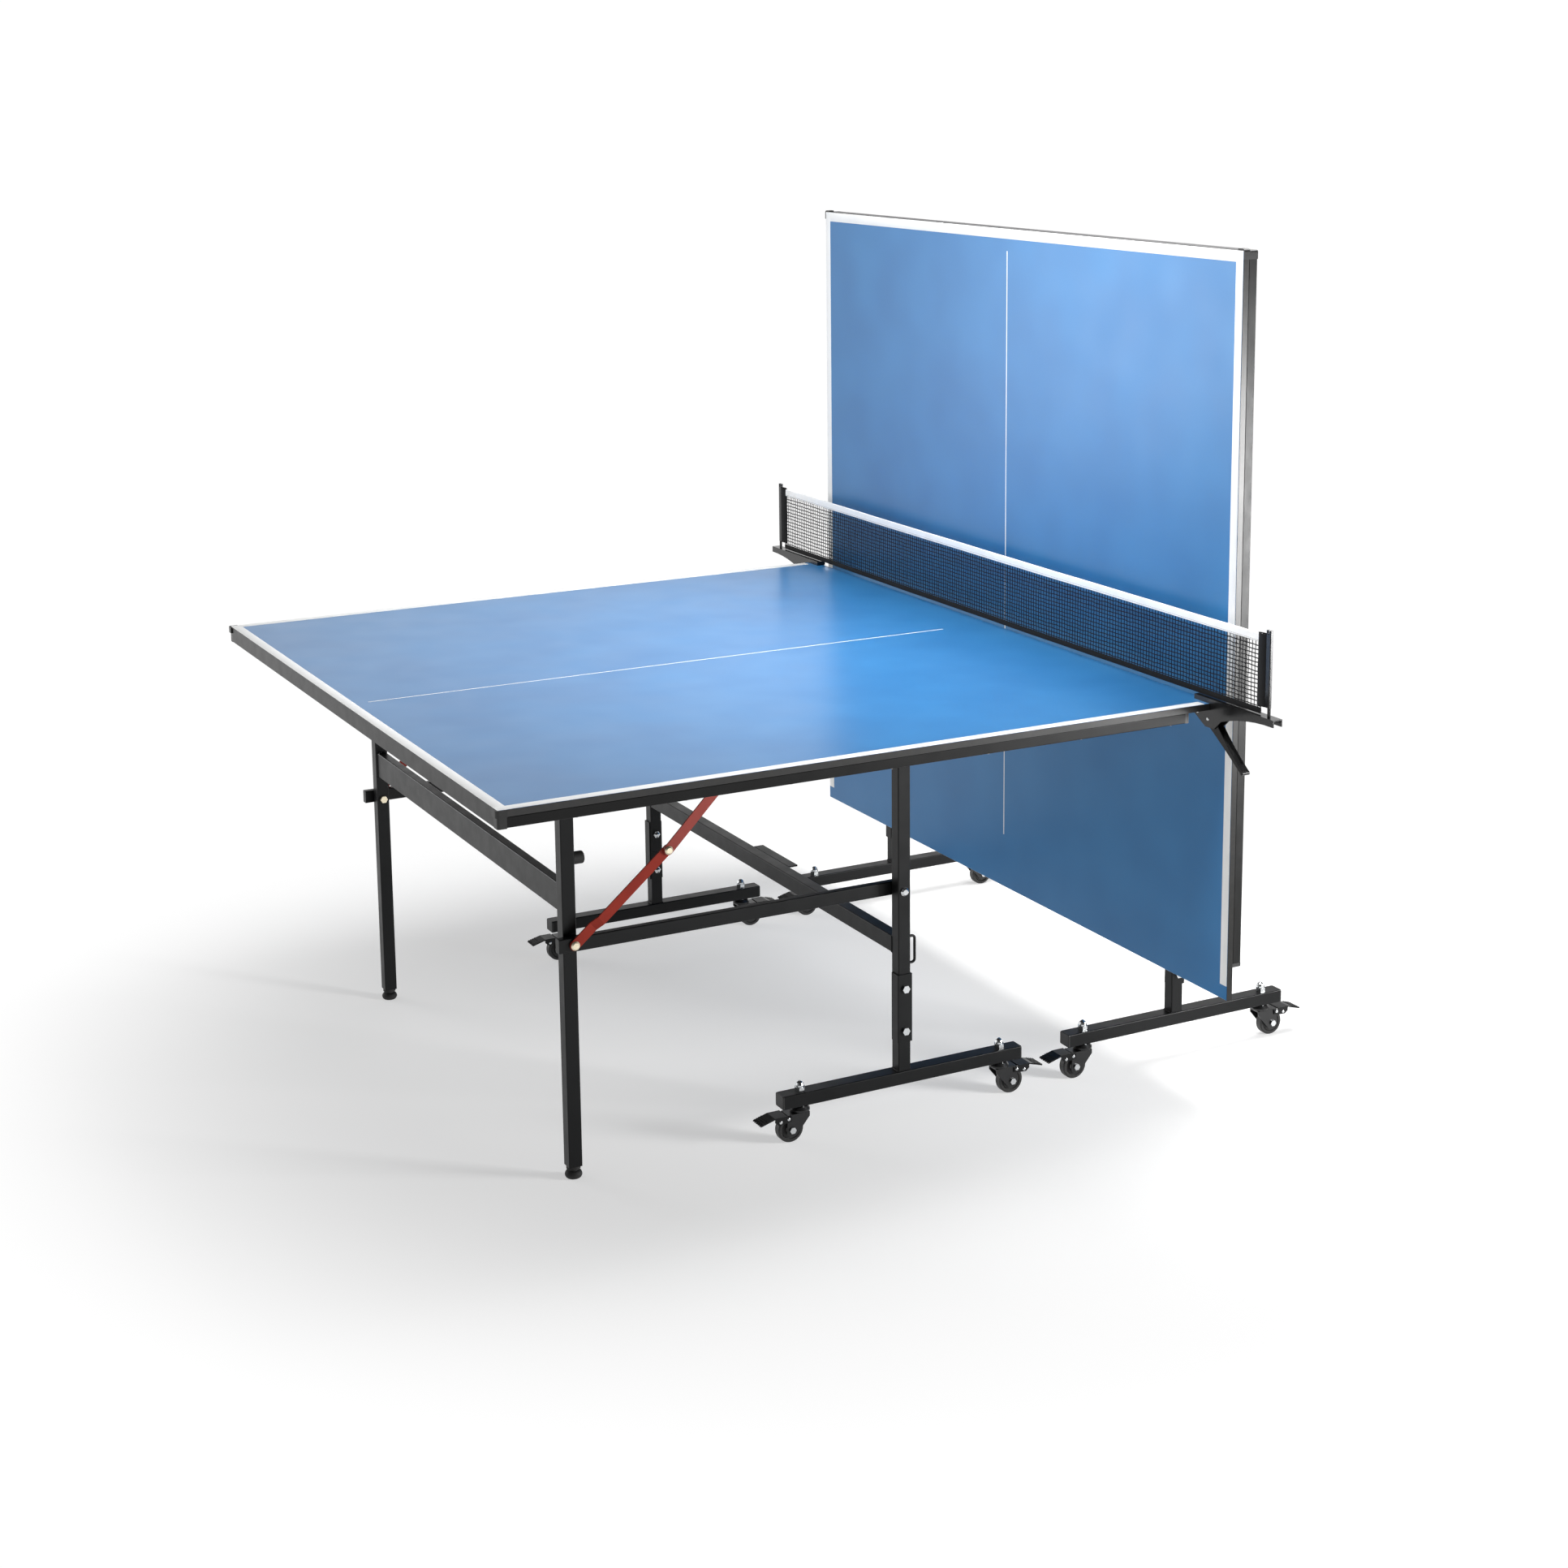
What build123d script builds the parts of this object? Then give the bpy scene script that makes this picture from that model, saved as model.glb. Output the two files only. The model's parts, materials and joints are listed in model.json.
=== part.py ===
from build123d import *
import os
from math import atan2, cos, degrees, hypot, radians, sin, sqrt

# Folding table tennis table in playback position: one half lies level as a
# playing surface, the other stands upright behind the net as a rebound wall.
# Millimetres, +Z up. X runs along the length of the table, Y across it.
# Every piece is made in the frame of one level half, with the net edge at x = 0
# and the end edge at negative x, and is then placed for the half it belongs to.

os.makedirs("parts", exist_ok=True)

# ---------------------------------------------------------------- table halves
half_length = 1370.0        # net edge to end edge
table_width = 1525.0
surface_z = 760.0           # playing height
board_t = 12.0
rail_h = 18.0               # apron rail below the board
rail_w = 20.0
rail_wall = 1.5
end_skin = 2.0              # thickness of the end rail where it covers the board edge
rail_stop = 62.0            # the side rails end this far from the net edge
plug_t = 7.0                # plastic plug in the open end of a side rail
cap_len = 16.0              # corner cap along the end edge
cap_bulge = 3.0

half_width = table_width / 2
board_z = surface_z - board_t
rail_z = board_z - rail_h

# ------------------------------------------------------------- folding linkage
fold_x = -522.0             # fold pivot, above the trolley
leg_x = -half_length + 221.0
stay_x = leg_x + 311.0      # upper pivot of the folding stay
pivot_drop = 46.0           # pivots below the playing surface
pivot_z = surface_z - pivot_drop
link_z = 430.0              # lower pivots of link bar and stay
tube = 25.0                 # square tube of posts and legs
tube_wall = 1.5
pin_r = 4.0
running_fit = 0.05          # radial clearance of a pin in its hole
hole_r = pin_r + running_fit

# Distances inward from the long edge, one layer beside the next
post_in = 225.0             # centre of post and T-foot
stay_upper_in = (226.0, 229.0)
stay_lower_in = (229.5, 232.5)
stay_end_in = (236.7, 239.7)        # lower end of the stay, bent inward beside the link bar
link_in = (241.0, 256.0)
leg_in = 272.5

# ------------------------------------------------------------------- T-legs
foot_len = 500.0
foot_w = 30.0
foot_h = 25.0
foot_z = 66.0               # underside of the foot bar, the caster's height
foot_cap_t = 3.0
post_split_z = 209.0        # joint between foot post and upper post, inside the sleeve
sleeve_z = (147.0, 275.0)
sleeve_t = 2.5
sleeve_bolt_z = (168.0, 248.0)
crossbar_z = (311.0, 342.0)
post_top = 14.0             # post and leg reach this far above their pivots
loop_z = (293.0, 343.0)     # wire loop on the post
loop_reach = 12.0
wire_r = 2.5

# ------------------------------------------------------------------- end legs
leg_z = 22.0                # lower end of the leg tube
stretcher_z = (478.0, 528.0)
stretcher_t = 18.0
bumper_z = 572.0
bumper_r = 11.0
bumper_len = 20.0

# -------------------------------------------------------------------- casters
stem_offset = 209.0         # caster stem from the post
wheel_r = 25.0
wheel_w = 18.0
trail = 22.0                # wheel axle behind the stem
stem_r = 5.0
pedal_reach = 86.0          # pedal tip from the stem

# -------------------------------------------------------------------- net set
net_x = -7.0                # plane of the net, just inside the net edge
net_top = 152.5             # above the playing surface
post_out = 152.5            # net post outside the side edge
arm_w = 20.0
arm_t = 9.0
clamp_t = 2.0               # sheet steel of the clamp
clamp_pivot = (4.0, 731.0)  # lever rivet: inward from the edge, height
clamp_stud = (35.0, 738.5)  # stud near the inner end of the cheek

# --------------------------------------------------------------- where it stands
rebound_gap = 82.0          # rebound half's posts beyond the play half's net edge
net_edge_x = (half_length + cap_bulge - rebound_gap - stem_offset - pedal_reach) / 2
play = Location((net_edge_x, 0, 0))
rebound = Location((net_edge_x + rebound_gap + fold_x, 0, 0), (0, 0, 180))


# ============================================================== stay geometry
def turned(dx, dz, angle):
    """Turn a step (dx, dz) about +Y by an angle in degrees."""
    c, s = cos(radians(angle)), sin(radians(angle))
    return dx * c + dz * s, -dx * s + dz * c


stay_rise = pivot_z - link_z
stay_run = stay_x - leg_x
stay_sum = hypot(stay_run, stay_rise) + 0.4     # almost straight when open
stay_difference = stay_run - stay_rise - 0.2    # almost flat when folded
lower_len = (stay_sum + stay_difference) / 2
upper_len = (stay_sum - stay_difference) / 2


def knee_at(lower, upper):
    """Knee of the stay on its inner side, from its lower and upper pivots."""
    dx, dz = upper[0] - lower[0], upper[1] - lower[1]
    reach = hypot(dx, dz)
    along = (lower_len**2 - upper_len**2 + reach**2) / (2 * reach)
    aside = sqrt(lower_len**2 - along**2)
    x = lower[0] + (dx * along + dz * aside) / reach
    z = lower[1] + (dz * along - dx * aside) / reach
    return x, z


def bearing(start, end):
    """Angle about +Y of the line from start to end, in degrees."""
    return degrees(atan2(-(end[1] - start[1]), end[0] - start[0]))


lower_pivot = (leg_x, link_z)
upper_pivot = (stay_x, pivot_z)
knee = knee_at(lower_pivot, upper_pivot)
lower_folded = (fold_x, link_z + fold_x - leg_x)
upper_folded = (fold_x, pivot_z + fold_x - stay_x)
knee_folded = knee_at(lower_folded, upper_folded)
upper_turn = (bearing(upper_folded, knee_folded) - bearing(upper_pivot, knee)) % 360 - 360
lower_turn = (bearing(lower_folded, knee_folded) - bearing(lower_pivot, knee)) % 360
print("stay lengths", round(lower_len, 3), round(upper_len, 3))
print("knee", knee, "folded", knee_folded)
print("upper stay turns", upper_turn, "with the top's 90, lower stay turns", lower_turn)


def fold_about(pivot, angle, target):
    """Placement that turns about +Y at pivot and carries the pivot to target."""
    x, z = turned(pivot[0], pivot[1], angle)
    return Location((target[0] - x, 0, target[1] - z), (0, angle, 0))


fold_pivot = (fold_x, pivot_z)
link_pivot = (fold_x, link_z)
folded = {
    "top": fold_about(fold_pivot, 90, fold_pivot),
    "trolley": Location(),
    "legs": Location((fold_x - leg_x, 0, fold_x - leg_x)),
    "links": fold_about(link_pivot, 90, link_pivot),
    "upper_stay": fold_about(upper_pivot, upper_turn, upper_folded),
    "lower_stay": fold_about(lower_pivot, lower_turn, lower_folded),
}


# ==================================================================== helpers
def near(inward):
    """Y of a line that lies this far inward from the near long edge."""
    return inward - half_width


def grouped(*pieces):
    """Welded or matching pieces as one group of separate solids."""
    return Compound([solid for piece in pieces for solid in piece.solids()])


def save(piece, label, place):
    """Place a finished piece, label it and write its file."""
    piece = piece.moved(place)
    piece.label = label
    export_step(piece, f"parts/{label}.step")


def add_tube(plane, width, height, length, wall=tube_wall, corner=2.0):
    """Rectangular tube from the plane along its normal, added to the open part."""
    with BuildSketch(plane) as profile:
        RectangleRounded(width, height, corner)
        RectangleRounded(width - 2 * wall, height - 2 * wall, corner / 2, mode=Mode.SUBTRACT)
    extrude(profile.sketch, amount=length)


def add_rod_y(x, z, inner, outer, radius, mode=Mode.ADD):
    """Round rod across the table between two distances inward from the near edge."""
    with Locations((x, near((inner + outer) / 2), z)):
        Cylinder(radius, abs(outer - inner), rotation=(90, 0, 0), mode=mode)


def add_hex_y(x, z, inner, outer, across):
    """Hexagon across the table between two distances inward from the near edge."""
    with BuildSketch(Plane((x, near(inner), z), x_dir=(1, 0, 0), z_dir=(0, 1, 0))) as flat:
        RegularPolygon(across / sqrt(3), 6)
    extrude(flat.sketch, amount=outer - inner)


def add_dome_y(x, z, inward, height, radius, toward):
    """Crowned bolt head on a face across the table, standing outward or inward from it."""
    rim = height * 0.4
    face = Plane((x, near(inward), z), x_dir=(1, 0, 0), z_dir=(0, toward, 0))
    with BuildSketch(face) as head:
        Circle(radius)
    extrude(head.sketch, amount=rim)
    with BuildSketch(face.offset(rim)) as crown:
        Circle(radius)
    extrude(crown.sketch, amount=height - rim, taper=45)


# ============================================================ pieces of a top
def make_board():
    with BuildPart() as board:
        with BuildSketch(Plane.XY.offset(board_z)):
            with Locations(((end_skin - half_length) / 2, 0)):
                Rectangle(half_length - end_skin, table_width)
        extrude(amount=board_t)
        chamfer(board.faces().sort_by(Axis.Z)[-1].edges(), 0.6)
    return board.part


def make_apron():
    """Two side rails under the board and the deeper end rail that covers its edge."""
    side_start = -half_length + cap_len
    side_length = half_length - cap_len - rail_stop - plug_t
    rail_mid = board_z - rail_h / 2
    with BuildPart() as side_rails:
        side_plane = Plane((side_start, near(rail_w / 2), rail_mid), x_dir=(0, 1, 0),
                           z_dir=(1, 0, 0))
        add_tube(side_plane, rail_w, rail_h, side_length, rail_wall, 1.5)
        mirror(about=Plane.XZ)
    with BuildPart() as end_rail:
        end_plane = Plane((-half_length, half_width - cap_len, rail_z), x_dir=(1, 0, 0),
                          z_dir=(0, -1, 0))
        with BuildSketch(end_plane):
            with BuildLine():
                Polyline((0, 0), (0, rail_h + board_t), (end_skin, rail_h + board_t),
                         (end_skin, rail_h), (cap_len, rail_h), (cap_len, 0), close=True)
            make_face()
            with Locations((cap_len / 2, rail_h / 2)):
                Rectangle(cap_len - 2 * end_skin, rail_h - 2 * end_skin, mode=Mode.SUBTRACT)
        extrude(amount=table_width - 2 * cap_len)
    return grouped(side_rails.part, end_rail.part)


def make_corner_caps():
    """Moulded corner caps at the end edge and plugs in the open rail ends."""
    lip = 1.0
    wide = cap_len + cap_bulge
    with BuildPart() as caps:
        with BuildSketch(Plane.XY.offset(rail_z - lip)) as lower:
            with Locations((-half_length, -half_width)):
                Rectangle(cap_len, cap_len, align=(Align.MIN, Align.MIN))
            fillet(lower.vertices().group_by(Axis.X)[0].group_by(Axis.Y)[0], 4.0)
        extrude(amount=rail_h + lip)
        mirror(about=Plane.XZ)
    with BuildPart() as shells:
        with BuildSketch(Plane.XY.offset(board_z)) as upper:
            with Locations((-half_length - cap_bulge, -half_width - cap_bulge)):
                Rectangle(wide, wide, align=(Align.MIN, Align.MIN))
            fillet(upper.vertices().group_by(Axis.X)[0].group_by(Axis.Y)[0], 6.0)
            with Locations((-half_length + end_skin, -half_width)):
                Rectangle(wide, wide, align=(Align.MIN, Align.MIN), mode=Mode.SUBTRACT)
        extrude(amount=board_t)
        mirror(about=Plane.XZ)
    with BuildPart() as plugs:
        with BuildSketch(Plane.XY.offset(rail_z)):
            with Locations((-rail_stop - plug_t, -half_width)):
                Rectangle(plug_t, rail_w, align=(Align.MIN, Align.MIN))
        extrude(amount=rail_h)
        mirror(about=Plane.XZ)
    return grouped(caps.part, shells.part, plugs.part)


def add_flange(x, inward, thickness, base, tip_r):
    """Bracket flange hanging from the board, tapering round the pivot, with its hole."""
    plane = Plane((x, near(inward), pivot_z), x_dir=(-1, 0, 0), z_dir=(0, 1, 0))
    drop = board_z - pivot_z
    with BuildSketch(plane) as flange:
        Circle(tip_r)
        with BuildLine():
            Polyline((-base, drop), (base, drop), (tip_r, 0), (-tip_r, 0), close=True)
        make_face()
        Circle(pin_r, mode=Mode.SUBTRACT)
    extrude(flange.sketch, amount=thickness)


def add_base(x, from_in, to_in, length, plate=3.0):
    """Bracket foot plate against the underside of the board."""
    with BuildSketch(Plane.XY.offset(board_z - plate)) as foot:
        with Locations((x, near((from_in + to_in) / 2))):
            RectangleRounded(length, to_in - from_in, 4)
    extrude(foot.sketch, amount=plate)


def make_brackets():
    """Pivot brackets under the board: post, stay and leg."""
    flange_t = 3.0
    post_face = post_in - tube / 2
    leg_faces = (leg_in - tube / 2, leg_in + tube / 2)
    with BuildPart() as brackets:
        add_base(fold_x, post_face - 36, post_face - 1, 90)
        add_flange(fold_x, post_face - 4, flange_t, 32, 13)
        add_base(stay_x, 188, 224.5, 70)
        add_flange(stay_x, 221.5, flange_t, 24, 12)
        add_base(leg_x, leg_faces[0] - 4, leg_faces[1] + 34, 84)
        add_flange(leg_x, leg_faces[0] - 4, flange_t, 30, 13)
        add_flange(leg_x, leg_faces[1] + 1, flange_t, 30, 13)
        mirror(about=Plane.XZ)
    return brackets.part


def make_top_bolts():
    """Pivot bolts of the brackets and the domed screws under the apron rails."""
    post_face = post_in - tube / 2
    leg_faces = (leg_in - tube / 2, leg_in + tube / 2)
    screw_count = 7
    screw_pitch = 190.0
    with BuildPart() as bolts:
        add_dome_y(fold_x, pivot_z, post_face - 4, 5, 7, -1)
        add_rod_y(fold_x, pivot_z, post_face - 4, post_face + tube + 1.5, pin_r)
        add_dome_y(stay_x, pivot_z, 221.5, 4.5, 7, -1)
        add_rod_y(stay_x, pivot_z, 221.5, stay_upper_in[1], pin_r)
        add_dome_y(leg_x, pivot_z, leg_faces[0] - 4, 4.5, 7, -1)
        add_rod_y(leg_x, pivot_z, leg_faces[0] - 4, leg_faces[1] + 4, pin_r)
        add_hex_y(leg_x, pivot_z, leg_faces[1] + 4, leg_faces[1] + 10, 13)
        for index in range(screw_count):
            x = -rail_stop - plug_t - 25 - index * screw_pitch
            with BuildSketch(Plane((x, near(rail_w / 2), rail_z))) as screw:
                Circle(4.5)
            extrude(screw.sketch, amount=-2.5, taper=35)
        mirror(about=Plane.XZ)
    return bolts.part


# ======================================================== pieces of a trolley
def make_trolley_frame():
    """Upper posts, their wire loops, the crossbar and the rest plate at its middle."""
    crossbar_h = crossbar_z[1] - crossbar_z[0]
    inner = half_width - post_in - tube / 2
    rest_reach = 20.0
    rest_t = 3.0
    with BuildPart() as posts:
        add_tube(Plane((fold_x, near(post_in), post_split_z)), tube, tube,
                 pivot_z + post_top - post_split_z)
        for z in (pivot_z, link_z, sleeve_bolt_z[1]):
            add_rod_y(fold_x, z, post_in - tube, post_in + tube, hole_r, Mode.SUBTRACT)
        mirror(about=Plane.XZ)
    with BuildPart() as loops:
        face = fold_x + tube / 2
        y = near(post_in - 6)
        with BuildLine() as path:
            FilletPolyline((face, y, loop_z[1]), (face + loop_reach, y, loop_z[1]),
                           (face + loop_reach, y, loop_z[0]), (face, y, loop_z[0]), radius=6)
        with BuildSketch(Plane(path.line @ 0, z_dir=path.line % 0)):
            Circle(wire_r)
        sweep()
        mirror(about=Plane.XZ)
    with BuildPart() as crossbar:
        add_tube(Plane((fold_x, -inner, sum(crossbar_z) / 2), x_dir=(1, 0, 0), z_dir=(0, 1, 0)),
                 tube, crossbar_h, 2 * inner)
    with BuildPart() as rest:
        with BuildSketch(Plane.XY.offset(crossbar_z[1] - rest_t)):
            with Locations((fold_x + tube / 2 + rest_reach / 2, 0)):
                Rectangle(rest_reach, 150)
        extrude(amount=rest_t)
    return grouped(posts.part, loops.part, crossbar.part, rest.part)


def make_t_feet():
    """Foot bars with the short posts and the sleeves welded to them."""
    bar_len = foot_len - 2 * foot_cap_t
    depth = tube - 4 + sleeve_t
    with BuildPart() as bars:
        add_tube(Plane((fold_x - bar_len / 2, near(post_in), foot_z + foot_h / 2),
                       x_dir=(0, 1, 0), z_dir=(1, 0, 0)), foot_w, foot_h, bar_len)
        for side in (-1, 1):
            with Locations((fold_x + side * stem_offset, near(post_in), foot_z + foot_h / 2)):
                Cylinder(stem_r, 2 * foot_h, mode=Mode.SUBTRACT)
        mirror(about=Plane.XZ)
    with BuildPart() as short_posts:
        add_tube(Plane((fold_x, near(post_in), foot_z + foot_h)), tube, tube,
                 post_split_z - foot_z - foot_h - 0.5)
        add_rod_y(fold_x, sleeve_bolt_z[0], post_in - tube, post_in + tube, pin_r, Mode.SUBTRACT)
        mirror(about=Plane.XZ)
    with BuildPart() as sleeves:
        with BuildSketch(Plane.XY.offset(sleeve_z[0])) as channel:
            with Locations((fold_x, near(post_in - tube / 2 - sleeve_t))):
                Rectangle(tube + 2 * sleeve_t, depth, align=(Align.CENTER, Align.MIN))
            fillet(channel.vertices().group_by(Axis.Y)[0], 2.0)
            with Locations((fold_x, near(post_in - tube / 2))):
                Rectangle(tube, depth, align=(Align.CENTER, Align.MIN), mode=Mode.SUBTRACT)
        extrude(amount=sleeve_z[1] - sleeve_z[0])
        for z in sleeve_bolt_z:
            add_rod_y(fold_x, z, post_in - tube, post_in, pin_r, Mode.SUBTRACT)
        mirror(about=Plane.XZ)
    return grouped(bars.part, short_posts.part, sleeves.part)


def make_foot_caps():
    """Plastic caps in the ends of the foot bars."""
    plug_depth = 12.0
    with BuildPart() as caps:
        for side in (-1, 1):
            end = fold_x + side * foot_len / 2
            centre = (near(post_in), foot_z + foot_h / 2)
            facing = Plane((end, centre[0], centre[1]), x_dir=(0, 1, 0), z_dir=(-side, 0, 0))
            with BuildSketch(facing) as outside:
                RectangleRounded(foot_w, foot_h, 3)
            extrude(outside.sketch, amount=foot_cap_t)
            with BuildSketch(facing.offset(foot_cap_t)) as plug:
                RectangleRounded(foot_w - 2 * tube_wall - 0.4, foot_h - 2 * tube_wall - 0.4, 1)
            extrude(plug.sketch, amount=plug_depth)
        chamfer(caps.faces().sort_by(Axis.X)[0].edges(), 1.0)
        chamfer(caps.faces().sort_by(Axis.X)[-1].edges(), 1.0)
        mirror(about=Plane.XZ)
    return caps.part


def make_trolley_bolts():
    """Sleeve bolts, link pivot bolts and caster stems with their acorn nuts."""
    sleeve_face = post_in - tube / 2 - sleeve_t
    post_face = post_in - tube / 2
    inner_face = post_in + tube / 2
    flange_t = 1.5
    nut_h = 8.0
    nut_top = foot_z + foot_h + nut_h
    acorn = ((nut_top, 7.8, 3.5, 0), (nut_top + 3.5, 7.8, 4.0, 22), (nut_top + 7.5, 6.18, 3.0, 52))
    with BuildPart() as bolts:
        for z in sleeve_bolt_z:
            add_hex_y(fold_x, z, sleeve_face - 5, sleeve_face, 13)
            add_rod_y(fold_x, z, sleeve_face, inner_face, pin_r)
            add_hex_y(fold_x, z, inner_face, inner_face + 4, 13)
            add_dome_y(fold_x, z, inner_face + 4, 5, 5.5, 1)
        add_dome_y(fold_x, link_z, post_face, 5, 8, -1)
        add_rod_y(fold_x, link_z, post_face, link_in[1] + 0.6, pin_r)
        add_rod_y(fold_x, link_z, inner_face, link_in[0] - 0.5, 7)
        add_dome_y(fold_x, link_z, link_in[1] + 0.6, 5, 7, 1)
        for side in (-1, 1):
            stem = (fold_x + side * stem_offset, near(post_in))
            with BuildSketch(Plane((stem[0], stem[1], foot_z - flange_t))) as flange:
                Circle(11)
            extrude(flange.sketch, amount=flange_t)
            with BuildSketch(Plane((stem[0], stem[1], foot_z - 12))) as shank:
                Circle(stem_r)
            extrude(shank.sketch, amount=foot_h + 12 + 2)
            with BuildSketch(Plane((stem[0], stem[1], foot_z + foot_h))) as nut:
                RegularPolygon(17 / sqrt(3), 6)
            extrude(nut.sketch, amount=nut_h)
            for base, radius, height, taper in acorn:
                with BuildSketch(Plane((stem[0], stem[1], base))) as ring:
                    Circle(radius)
                extrude(ring.sketch, amount=height, taper=taper)
        mirror(about=Plane.XZ)
    return bolts.part


# ======================================================= pieces of a leg frame
def make_legs():
    """Two leg tubes and the stretcher between them."""
    inner = half_width - leg_in - tube / 2
    with BuildPart() as legs:
        add_tube(Plane((leg_x, near(leg_in), leg_z)), tube, tube, pivot_z + post_top - leg_z)
        for z, radius in ((pivot_z, hole_r), (link_z, pin_r)):
            add_rod_y(leg_x, z, leg_in - tube, leg_in + tube, radius, Mode.SUBTRACT)
        mirror(about=Plane.XZ)
    with BuildPart() as stretcher:
        add_tube(Plane((leg_x, -inner, sum(stretcher_z) / 2), x_dir=(1, 0, 0), z_dir=(0, 1, 0)),
                 stretcher_t, stretcher_z[1] - stretcher_z[0], 2 * inner)
    return grouped(legs.part, stretcher.part)


def make_leg_feet():
    """Levelling feet: a bulb on the floor and a flared plug in the leg."""
    with BuildPart() as feet:
        with BuildSketch(Plane((leg_x, near(leg_in), 0), x_dir=(1, 0, 0), z_dir=(0, -1, 0))):
            with BuildLine():
                Polyline((0, 0), (12, 0), (14, 2))
                ThreePointArc((14, 2), (15.2, 7), (12, 12.5))
                Polyline((12, 12.5), (9, 13.5), (9, 15), (12.5, 17), (12.5, leg_z),
                         (8, leg_z), (8, leg_z + 12), (0, leg_z + 12), (0, 0))
            make_face()
        revolve(axis=Axis((leg_x, near(leg_in), 0), (0, 0, 1)), revolution_arc=360)
        mirror(about=Plane.XZ)
    return feet.part


def make_bumpers():
    """Rubber buffers that hold the folded board off the legs."""
    with BuildPart() as bumpers:
        with BuildSketch(Plane((leg_x + tube / 2, near(leg_in), bumper_z), z_dir=(1, 0, 0))):
            Circle(bumper_r)
        extrude(amount=bumper_len)
        fillet(bumpers.faces().sort_by(Axis.X)[-1].edges(), 3)
        mirror(about=Plane.XZ)
    return bumpers.part


def make_leg_bolts():
    """Bolts through the leg, the link bar and the lower end of the stay."""
    faces = (leg_in - tube / 2, leg_in + tube / 2)
    with BuildPart() as bolts:
        add_dome_y(leg_x, link_z, stay_end_in[0] - 0.3, 4.2, 8, -1)
        add_rod_y(leg_x, link_z, stay_end_in[0] - 0.3, faces[1], pin_r)
        add_rod_y(leg_x, link_z, stay_end_in[1] + 0.3, link_in[0] - 0.3, 6.5)
        add_rod_y(leg_x, link_z, link_in[1] + 0.3, faces[0], 6.5)
        add_hex_y(leg_x, link_z, faces[1], faces[1] + 6, 13)
        mirror(about=Plane.XZ)
    return bolts.part


# ==================================================== link bars and the stays
def make_links():
    """Link bars that keep the legs parallel to the posts."""
    tail = 28.0
    nose = 14.0
    link_t = link_in[1] - link_in[0]
    with BuildPart() as links:
        plane = Plane((leg_x - tail, near(sum(link_in) / 2), link_z), x_dir=(0, 1, 0),
                      z_dir=(1, 0, 0))
        add_tube(plane, link_t, tube, fold_x - leg_x + tail + nose)
        with BuildSketch(plane) as closed_end:
            Rectangle(link_t - 2 * tube_wall, tube - 2 * tube_wall)
        extrude(closed_end.sketch, amount=3)
        for x in (leg_x, fold_x):
            add_rod_y(x, link_z, link_in[0] - 5, link_in[1] + 5, hole_r, Mode.SUBTRACT)
        mirror(about=Plane.XZ)
    return links.part


stay_width = 18.0


def strap_axes(start, end):
    """Length of a strap between two pivots, its direction and its width direction."""
    length = hypot(end[0] - start[0], end[1] - start[1])
    along = ((end[0] - start[0]) / length, 0, (end[1] - start[1]) / length)
    return length, along, (-along[2], 0, along[0])


def make_upper_stays():
    """Upper straps, each with its half of the knee rivet: the domed head outside."""
    length, along, _ = strap_axes(knee, upper_pivot)
    middle = ((knee[0] + upper_pivot[0]) / 2, (knee[1] + upper_pivot[1]) / 2)
    with BuildPart() as stays:
        with BuildSketch(Plane((middle[0], near(stay_upper_in[0]), middle[1]), x_dir=along,
                               z_dir=(0, 1, 0))):
            SlotCenterToCenter(length, stay_width)
            with Locations((length / 2, 0)):
                Circle(hole_r, mode=Mode.SUBTRACT)
        extrude(amount=stay_upper_in[1] - stay_upper_in[0])
        add_dome_y(knee[0], knee[1], stay_upper_in[0], 4.3, 7.5, -1)
        mirror(about=Plane.XZ)
    return stays.part


def make_lower_stays():
    """Lower straps, bent inward near the leg, each with the tail of the knee rivet."""
    length, along, across = strap_axes(lower_pivot, knee)
    thickness = stay_lower_in[1] - stay_lower_in[0]
    step_in = stay_end_in[0] - stay_lower_in[0]
    bend = (44.0, 60.0)                     # the bend, measured from the lower pivot
    lap = thickness * step_in / (bend[1] - bend[0]) / 2
    tip = stay_width / 2
    edge_plane = Plane((lower_pivot[0], near(stay_lower_in[0]), lower_pivot[1]), x_dir=along,
                       z_dir=across)
    face_plane = Plane((lower_pivot[0], near(stay_lower_in[0]), lower_pivot[1]), x_dir=along,
                       z_dir=(0, 1, 0))
    with BuildPart() as stays:
        with BuildSketch(edge_plane):
            with BuildLine():
                Polyline((-tip, step_in), (bend[0], step_in), (bend[1], 0), (length + tip, 0),
                         (length + tip, thickness), (bend[1] + lap, thickness),
                         (bend[0] + lap, step_in + thickness), (-tip, step_in + thickness),
                         close=True)
            make_face()
        extrude(amount=tip, both=True)
        with BuildSketch(face_plane):
            with Locations((length / 2, 0)):
                SlotCenterToCenter(length, stay_width)
            Circle(hole_r, mode=Mode.SUBTRACT)
        extrude(amount=step_in + thickness, mode=Mode.INTERSECT)
        add_dome_y(knee[0], knee[1], stay_lower_in[1], 2.0, 6.0, 1)
        mirror(about=Plane.XZ)
    return stays.part


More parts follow.
